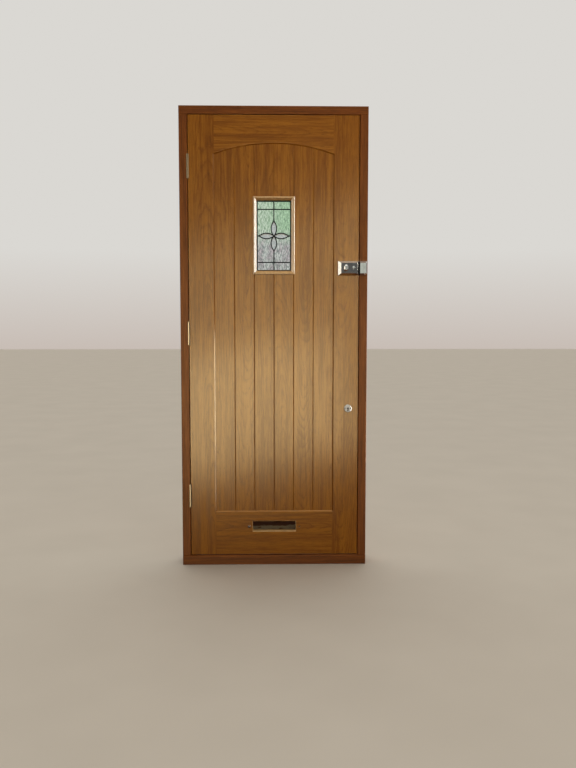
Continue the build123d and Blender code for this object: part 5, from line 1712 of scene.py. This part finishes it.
@dataclass
class Studio:
    """Plain pale floor, soft lamps and the camera of the photograph."""

    floor_colour: str = "#DACFBF"
    low_air: str = "#7A4F2E"
    middle_air: str = "#B6B4B0"
    high_air: str = "#FFFDF8"
    air_strength: float = 1.5
    front_share: float = 0.2
    air_heights: Span = (-0.3, 1.0)
    air_depths: Span = (-0.5, 0.5)
    middle_span: Span = (0.3, 0.6)
    floor_size: float = 60.0
    floor_patch_mm: float = 400.0
    floor_shade: float = 0.02
    floor_roughness: float = 0.8
    camera_place: tuple[float, float, float] = (-0.013, -3.536, 1.111)
    pitch_deg: float = -4.47
    yaw_deg: float = -1.24
    focal_px: float = 776.0
    long_side_px: float = 768.0
    sensor_mm: float = 36.0
    lamps: tuple[SoftLight, ...] = (
        SoftLight(
            "sheen", (-0.7, -5.2, 0.07), (-0.1, 0.0, 0.7), 3.5, 1.3, 152.0, "#FFF7EA",
            roll_deg=9.0, reach=Reach.TIMBER, lights_matt=False,
        ),
        SoftLight(
            "upper_sheen", (0.0, -5.2, 1.42), (0.0, 0.0, 1.25), 4.2, 1.5, 72.0, "#FFFAF0",
            roll_deg=15.0, reach=Reach.TIMBER, lights_matt=False,
        ),
        SoftLight(
            "fill", (0.2, -3.2, 1.8), (0.0, 0.0, 1.2), 2.0, 1.4, 61.0, "#FFF0D2",
            reach=Reach.TIMBER, seen_in_gloss=False,
        ),
        SoftLight(
            "window", (2.4, -0.8, 1.45), (0.0, 0.0, 1.4), 1.7, 2.2, 560.0, "#CCE2FF",
            reach=Reach.BEADS, lights_matt=False,
        ),
        SoftLight(
            "low_glow", (0.9, -0.15, 0.53), (0.0, -0.15, 0.53), 0.36, 1.02, 8.0, "#FFFFFF",
            reach=Reach.TIMBER, lights_matt=False,
        ),
        SoftLight(
            "mid_glow", (0.9, -0.15, 0.69), (0.0, -0.15, 0.69), 0.36, 0.7, 11.0, "#FFF8EA",
            reach=Reach.TIMBER, lights_matt=False,
        ),
        SoftLight(
            "hinge_card", (-1.6, -1.6, 0.7), (-0.38, 0.0, 0.75), 0.9, 1.8, 90.0, "#FFEFD4",
            reach=Reach.HINGES,
        ),
        SoftLight(
            "ceiling_glow", (0.0, -0.5, 3.2), (0.0, -0.4, 0.0), 2.4, 2.0, 30.0, "#FFF6E4",
            reach=Reach.TIMBER, lights_matt=False,
        ),
        SoftLight(
            "left_glow", (-2.4, -0.2, 1.4), (0.0, -0.2, 1.4), 0.9, 1.4, 62.0, "#F0F4FF",
            reach=Reach.BEADS, lights_matt=False,
        ),
        SoftLight("ceiling_card", (0.2, -0.15, 3.2), (0.2, 0.0, 0.0), 2.0, 1.0, 6.0, "#F6EEDA"),
        SoftLight(
            "latch_card", (0.75, -3.5, 1.62), (0.36, 0.0, 1.36), 0.7, 0.7, 0.85, "#F2F6E6",
            reach=Reach.LATCH_FACES,
        ),
        SoftLight(
            "keyhole_card", (0.6, -3.5, 0.34), (0.336, 0.0, 0.724), 0.7, 0.7, 0.9, "#FFF2DC",
            reach=Reach.LATCH_FACES,
        ),
        SoftLight("right_card", (2.4, -0.9, 2.12), (0.0, -0.1, 1.4), 0.9, 1.1, 26.0, "#FFF0DA"),
        SoftLight("left_card", (-2.4, -0.72, 1.4), (0.0, -0.1, 1.4), 0.6, 1.8, 5.0, "#FFEED6"),
        SoftLight(
            "overhead", (0.4, -1.7, 3.3), (0.0, 0.0, 1.2), 1.6, 1.2, 7.0, "#FFF8EA",
            reach=Reach.EVERYTHING,
        ),
        SoftLight("back", (-1.6, 3.0, 2.4), (0.0, 0.0, 1.1), 1.6, 1.6, 60.0, "#FFFFFF"),
    )

    def build(self) -> None:
        """Lay the floor, hang the lamps and set up the camera."""
        bpy.context.scene.view_settings.view_transform = "Standard"
        spared = bpy.data.collections.new("spared_floor")
        spared.objects.link(self._floor())
        spared.collection_objects[0].light_linking.link_state = "EXCLUDE"
        self._air()
        for lamp in self.lamps:
            self._lamp(lamp, spared)
        self._camera()

    def _floor(self) -> Piece:
        """Lay a large matt floor under the sill.

        Returns:
            The floor.
        """
        shape = bmesh.new()
        bmesh.ops.create_grid(shape, x_segments=2, y_segments=2, size=self.floor_size / 2)
        material, tree, shader = new_material("painted_studio_floor")
        place = add_node(tree, "TexCoord").outputs["Object"]
        cloud = Cloud(self.floor_patch_mm, self.floor_patch_mm).draw(tree, place, NOISE_SPAN)
        shaded = blend_hex(self.floor_colour, BLACK, self.floor_shade)
        stops = [(0.0, shaded), (1.0, self.floor_colour)]
        tones = add_node(tree, "ValToRGB", {"Fac": cloud}, stops)
        feed(tree, shader, {"Base Color": tones.outputs[0], "Roughness": self.floor_roughness})
        floor = put("studio_floor", shape, [material])
        floor.visible_glossy = False
        floor.visible_diffuse = False
        return floor

    def _air(self) -> None:
        """Fill the room with pale light, dimmer on the room's side, where the lamps are."""
        world = bpy.data.worlds.new("studio_air")
        world.use_nodes = True
        tree = world.node_tree
        around = add_node(tree, "TexCoord").outputs["Generated"]
        _, y, z = add_node(tree, "SeparateXYZ", {0: around}).outputs
        rise = add_node(tree, "MapRange", dict(enumerate((z, *self.air_heights)))).outputs[0]
        middle = [(place, self.middle_air) for place in self.middle_span]
        stops = [(0.0, self.low_air), *middle, (1.0, self.high_air)]
        tones = add_node(tree, "ValToRGB", {"Fac": rise}, stops)
        dim, full = self.front_share * self.air_strength, self.air_strength
        held = dict(enumerate((y, *self.air_depths, dim, full)))
        strength = add_node(tree, "MapRange", held)
        finish = {"Color": tones.outputs[0], "Strength": strength.outputs[0]}
        feed(tree, tree.nodes["Background"], finish)
        bpy.context.scene.world = world

    def _lamp(self, lamp: SoftLight, spared: bpy.types.Collection) -> None:
        """Hang one lamp, unseen by the camera and through the glass.

        Args:
            lamp: The lamp.
            spared: Collection of what the door's lamps leave out.
        """
        light = bpy.data.lights.new(lamp.name, "AREA")
        light.shape = "RECTANGLE"
        light.size, light.size_y = lamp.width, lamp.height
        light.energy = lamp.watts
        light.color = to_linear(lamp.colour)[:3]
        holder = bpy.data.objects.new(lamp.name, light)
        holder.location = lamp.place
        aim = (Vector(lamp.target) - Vector(lamp.place)).to_track_quat("-Z", "Y").to_matrix()
        roll = Matrix.Rotation(math.radians(lamp.roll_deg), 3, "Z")
        holder.rotation_euler = (aim @ roll).to_euler()
        holder.visible_camera = False
        holder.visible_transmission = False
        holder.visible_diffuse = lamp.lights_matt
        holder.visible_glossy = lamp.seen_in_gloss
        if lamp.reach is Reach.DOOR:
            holder.light_linking.receiver_collection = spared
        elif lamp.reach is not Reach.EVERYTHING:
            holder.light_linking.receiver_collection = lit_pieces(lamp.reach)
            holder.light_linking.blocker_collection = lit_pieces(Reach.TIMBER)
        bpy.context.scene.collection.objects.link(holder)

    def _camera(self) -> None:
        """Set up the camera at the photograph's viewing angle."""
        data = bpy.data.cameras.new("camera")
        data.sensor_fit = "AUTO"
        data.sensor_width = self.sensor_mm
        data.lens = self.sensor_mm * self.focal_px / self.long_side_px
        camera = bpy.data.objects.new("camera", data)
        camera.location = self.camera_place
        camera.rotation_euler = (
            math.radians(90 + self.pitch_deg), 0.0, math.radians(self.yaw_deg),
        )
        bpy.context.scene.collection.objects.link(camera)
        bpy.context.scene.camera = camera


def main() -> None:
    """Dress the door and set it in the studio."""
    logging.basicConfig(level=logging.INFO, format="%(name)s: %(message)s")
    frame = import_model()
    Studio().build()
    for assembly in (
        FrameTimbers, LeafTimbers, SlotEdge, LeadedLight,
        ButtHinges, NightLatch, Deadlock, LetterPlate,
    ):
        assembly(frame).build()
        LOG.info("%s is done", assembly.__name__)


if __name__ == "__main__":
    main()
